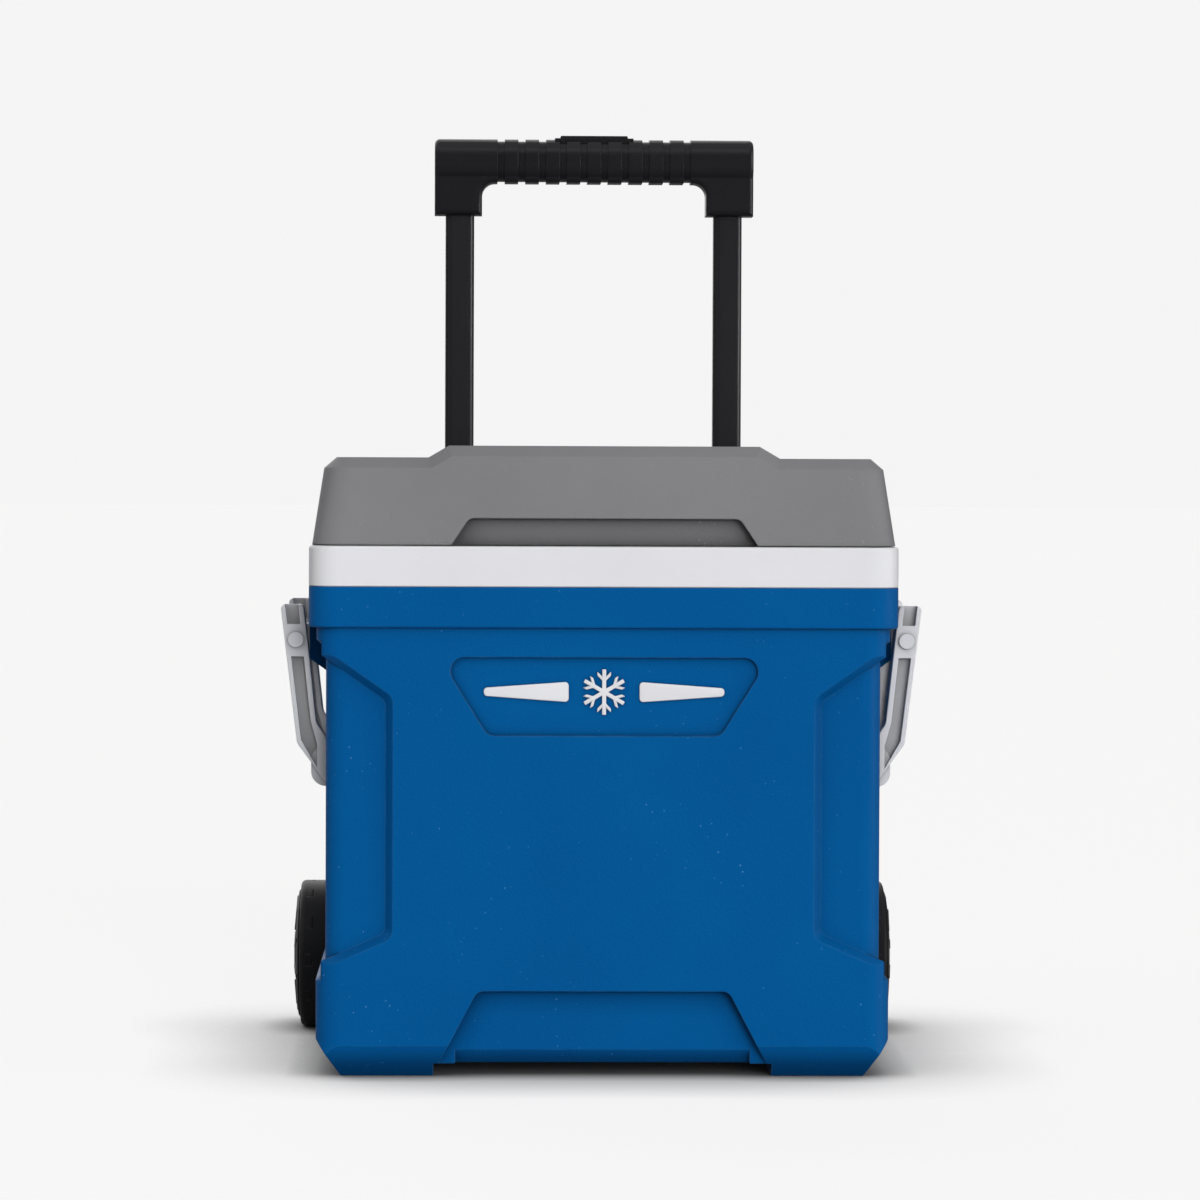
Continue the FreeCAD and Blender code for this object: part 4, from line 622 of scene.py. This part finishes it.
def screw_tree():
    """A pan-head screw at each point, facing the way that the point's own attribute says."""
    tree, given, out = geometry_tree("Pan-head screws", [
        ("Head Radius", "Float", 3 * MM), ("Head Tall", "Float", HEAD_TALL),
        ("Shank Radius", "Float", 1.6 * MM), ("Shank Long", "Float", 10 * MM),
        ("Recess", "Float", 3.4 * MM), ("Finish", "Material", None)])
    head = node(tree, "GeometryNodeMeshCylinder", {"fill_type": "TRIANGLE_FAN"},
                {"Vertices": 28, "Fill Segments": 4},
                {"Radius": given["Head Radius"], "Depth": given["Head Tall"]})
    place = tree.nodes.new("GeometryNodeInputPosition").outputs[0]
    parts = node(tree, "ShaderNodeSeparateXYZ", None, None, {"Vector": place}).outputs
    off = node(tree, "ShaderNodeVectorMath", {"operation": "LENGTH"}, None,
               {"Vector": vector(tree, parts["X"], parts["Y"], 0.0)}).outputs["Value"]
    share = sums(tree, "DIVIDE", off, given["Head Radius"])
    drop = sums(tree, "MULTIPLY", sums(tree, "MULTIPLY", share, share), -HEAD_DOME)
    fall = sums(tree, "MULTIPLY", drop, given["Head Tall"])
    upper = sums(tree, "GREATER_THAN", parts["Z"], 0.0)
    domed = node(tree, "GeometryNodeSetPosition", None, None,
                 {"Geometry": head.outputs["Mesh"], "Selection": upper,
                  "Offset": vector(tree, 0.0, 0.0, fall)}).outputs[0]
    long = given["Recess"]
    narrow = sums(tree, "MULTIPLY", long, RECESS_NARROW)
    lift = sums(tree, "MULTIPLY", given["Head Tall"], 0.5)
    cross = node(tree, "GeometryNodeMeshBoolean", {"operation": "DIFFERENCE", "solver": "EXACT"})
    tree.links.new(domed, cross.inputs["Mesh 1"])
    for across, up in ((long, narrow), (narrow, long)):
        slot = block(tree, vector(tree, across, up, given["Head Tall"]), vector(tree, 0.0, 0.0, lift))
        tree.links.new(slot, cross.inputs["Mesh 2"])
    seated = node(tree, "GeometryNodeTransform", None, None,
                  {"Geometry": cross.outputs["Mesh"],
                   "Translation": vector(tree, 0.0, 0.0, sums(tree, "MULTIPLY", lift, -1.0))}).outputs[0]
    shank = node(tree, "GeometryNodeMeshCylinder", None, {"Vertices": 20},
                 {"Radius": given["Shank Radius"], "Depth": given["Shank Long"]})
    down = sums(tree, "MULTIPLY_ADD", given["Shank Long"], -0.5,
                sums(tree, "MULTIPLY", given["Head Tall"], -1.0))
    stem = node(tree, "GeometryNodeTransform", None, None,
                {"Geometry": shank.outputs["Mesh"], "Translation": vector(tree, 0.0, 0.0, down)}).outputs[0]
    way = node(tree, "GeometryNodeInputNamedAttribute", {"data_type": "FLOAT_VECTOR"},
               {"Name": "way"}).outputs["Attribute"]
    aim = node(tree, "FunctionNodeAlignRotationToVector", {"axis": "Z"}, None, {"Vector": way}).outputs[0]
    many = node(tree, "GeometryNodeInstanceOnPoints", None, None,
                {"Points": given["Geometry"], "Instance": joined(tree, seated, stem), "Rotation": aim})
    return finished(tree, many.outputs[0], given, out)


screws = screw_tree()
SCREWED = {"hinge_base_screws": "tub", "hinge_leaf_screws": "lid", "bracket_screws": "tub",
           "carrier_screws": "tub", "grip_screws": "handle", "pivot_bracket_screws": "tub"}
for name, body in SCREWED.items():
    seats = [head_seat(solid) for solid in separate_solids(name)]
    mesh = bpy.data.meshes.new(name)
    mesh.from_pydata([seat[0] for seat in seats], [], [])
    ways = mesh.attributes.new("way", "FLOAT_VECTOR", "POINT")
    for number, seat in enumerate(seats):
        ways.data[number].vector = seat[1]
    piece = bpy.data.objects.new(name.replace("_screws", "_pan_heads"), mesh)
    bpy.context.scene.collection.objects.link(piece)
    grown(piece, screws, {"Shank Long": seats[0][2] - HEAD_TALL, "Finish": screw_steel})
    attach(piece, body)
    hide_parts(name)


# ---- Studio: floor, lights and camera ----
# A wide pale floor with a painted contact shadow, running out to a pale surround, one broad
# soft lamp in front, softer ones behind and at both sides, and a soft box above the front for
# the highlights.

BACKDROP = 0.915
FLOOR_REACH, FLOOR_DROP = 40.0, 0.2 * MM
floor_mesh = bpy.data.meshes.new("floor")
floor_corners = [(x * FLOOR_REACH, y * FLOOR_REACH, 0) for x, y in ((-1, -1), (1, -1), (1, 1), (-1, 1))]
floor_mesh.from_pydata(floor_corners, [], [(0, 1, 2, 3)])
floor = bpy.data.objects.new("floor", floor_mesh)
bpy.context.scene.collection.objects.link(floor)
floor.location.z = -FLOOR_DROP
pale = bpy.data.materials.new("pale_floor")
pale.use_nodes = True
tree = pale.node_tree
tree.nodes.clear()
FLOOR_GLOW, SHADE_DEPTH = 0.82, 1.4
# Painted shadow: the floor's glow for the camera is darkened by ambient occlusion near the cooler.
wide_shade = node(tree, "ShaderNodeAmbientOcclusion", {"samples": 8}, {"Distance": 120 * MM})
close_shade = node(tree, "ShaderNodeAmbientOcclusion", {"samples": 8}, {"Distance": 30 * MM})
wide_share = sums(tree, "POWER", wide_shade.outputs["AO"], SHADE_DEPTH)
glow_with_painted_shadow = sums(tree, "MULTIPLY", sums(tree, "MULTIPLY", wide_share, close_shade.outputs["AO"]), FLOOR_GLOW)
glow = node(tree, "ShaderNodeEmission", None, {"Color": (1, 0.995, 0.995, 1)}, {"Strength": glow_with_painted_shadow})
matt = node(tree, "ShaderNodeBsdfDiffuse", None, {"Color": (0.20, 0.20, 0.20, 1)})
both_shades = node(tree, "ShaderNodeAddShader")
tree.links.new(glow.outputs[0], both_shades.inputs[0])
tree.links.new(matt.outputs[0], both_shades.inputs[1])
dim = node(tree, "ShaderNodeBsdfDiffuse", None, {"Color": (0.4, 0.4, 0.4, 1)})
path = node(tree, "ShaderNodeLightPath")
pick = node(tree, "ShaderNodeMixShader")
tree.links.new(path.outputs["Is Camera Ray"], pick.inputs[0])
tree.links.new(dim.outputs[0], pick.inputs[1])
tree.links.new(both_shades.outputs[0], pick.inputs[2])
tree.links.new(pick.outputs[0], node(tree, "ShaderNodeOutputMaterial").inputs["Surface"])
floor_mesh.materials.append(pale)

world = bpy.data.worlds.new("studio")
bpy.context.scene.world = world
world.use_nodes = True
tree = world.node_tree
tree.nodes.clear()
path = node(tree, "ShaderNodeLightPath")
way = node(tree, "ShaderNodeTexCoord").outputs["Generated"]
rise = node(tree, "ShaderNodeSeparateXYZ", None, None, {"Vector": way}).outputs["Z"]
ambient = ramp(tree, rise, low=-0.1, high=1.0, to_low=0.24, to_high=0.20)
mirror = ramp(tree, rise, low=0.1, high=0.9, to_low=0.05, to_high=0.5)
dome = node(tree, "ShaderNodeMix", {"data_type": "FLOAT"})
tree.links.new(path.outputs["Is Glossy Ray"], dome.inputs[0])
tree.links.new(ambient, dome.inputs[2])
tree.links.new(mirror, dome.inputs[3])
sky = node(tree, "ShaderNodeMix", {"data_type": "FLOAT"})
tree.links.new(path.outputs["Is Camera Ray"], sky.inputs[0])
tree.links.new(dome.outputs[0], sky.inputs[2])
sky.inputs[3].default_value = BACKDROP
light = node(tree, "ShaderNodeBackground", None, {"Color": (1, 0.995, 0.998, 1)},
             {"Strength": sky.outputs[0]})
tree.links.new(light.outputs[0], node(tree, "ShaderNodeOutputWorld").inputs["Surface"])


def sun(name, azimuth, height, power, spread, mirrored):
    """A far soft lamp. Azimuth is degrees round from the front towards the right, and only a
    mirrored lamp shows in glossy surfaces."""
    lamp = bpy.data.lights.new(name, "SUN")
    lamp.energy, lamp.angle = power, math.radians(spread)
    thing = bpy.data.objects.new(name, lamp)
    a, e = math.radians(azimuth), math.radians(height)
    towards = Vector((math.sin(a) * math.cos(e), -math.cos(a) * math.cos(e), math.sin(e)))
    thing.rotation_mode = "QUATERNION"
    thing.rotation_quaternion = towards.to_track_quat("Z", "Y")
    thing.visible_glossy = mirrored
    bpy.context.scene.collection.objects.link(thing)


sun("key", azimuth=14, height=4, power=3.15, spread=34, mirrored=False)
sun("back", azimuth=195, height=22, power=1.2, spread=60, mirrored=True)
sun("left_fill", azimuth=-62, height=34, power=0.32, spread=50, mirrored=True)
sun("right_edge", azimuth=82, height=2, power=0.9, spread=24, mirrored=True)

soft_box = bpy.data.lights.new("soft_box", "AREA")
SOFT_BOX_PLACE, SOFT_BOX_AIM = Vector((0.25, -1.5, 1.9)), Vector((0, 0, 0.3))
soft_box.shape, soft_box.size, soft_box.size_y = "RECTANGLE", 1.6, 0.5
soft_box.energy = 3
box_thing = bpy.data.objects.new("soft_box", soft_box)
box_thing.location = SOFT_BOX_PLACE
box_thing.rotation_mode = "QUATERNION"
box_thing.rotation_quaternion = (SOFT_BOX_PLACE - SOFT_BOX_AIM).to_track_quat("Z", "Y")
bpy.context.scene.collection.objects.link(box_thing)

camera = bpy.data.cameras.new("camera")
FOCAL, SENSOR_WIDE, SEES_TO = 149.44, 36.0, 200
camera.lens, camera.sensor_width, camera.clip_end = FOCAL, SENSOR_WIDE, SEES_TO
viewer = bpy.data.objects.new("camera", camera)
CAMERA_PLACE = (-0.0841, -3.3287, 0.3926)
viewer.location = CAMERA_PLACE
PITCH, ROLL, YAW = math.radians(1.605), math.radians(-0.23), math.radians(1.466)
viewer.rotation_euler = (math.pi / 2 - PITCH, ROLL, -YAW)
bpy.context.scene.collection.objects.link(viewer)
bpy.context.scene.camera = viewer
bpy.context.scene.view_settings.view_transform = "Standard"
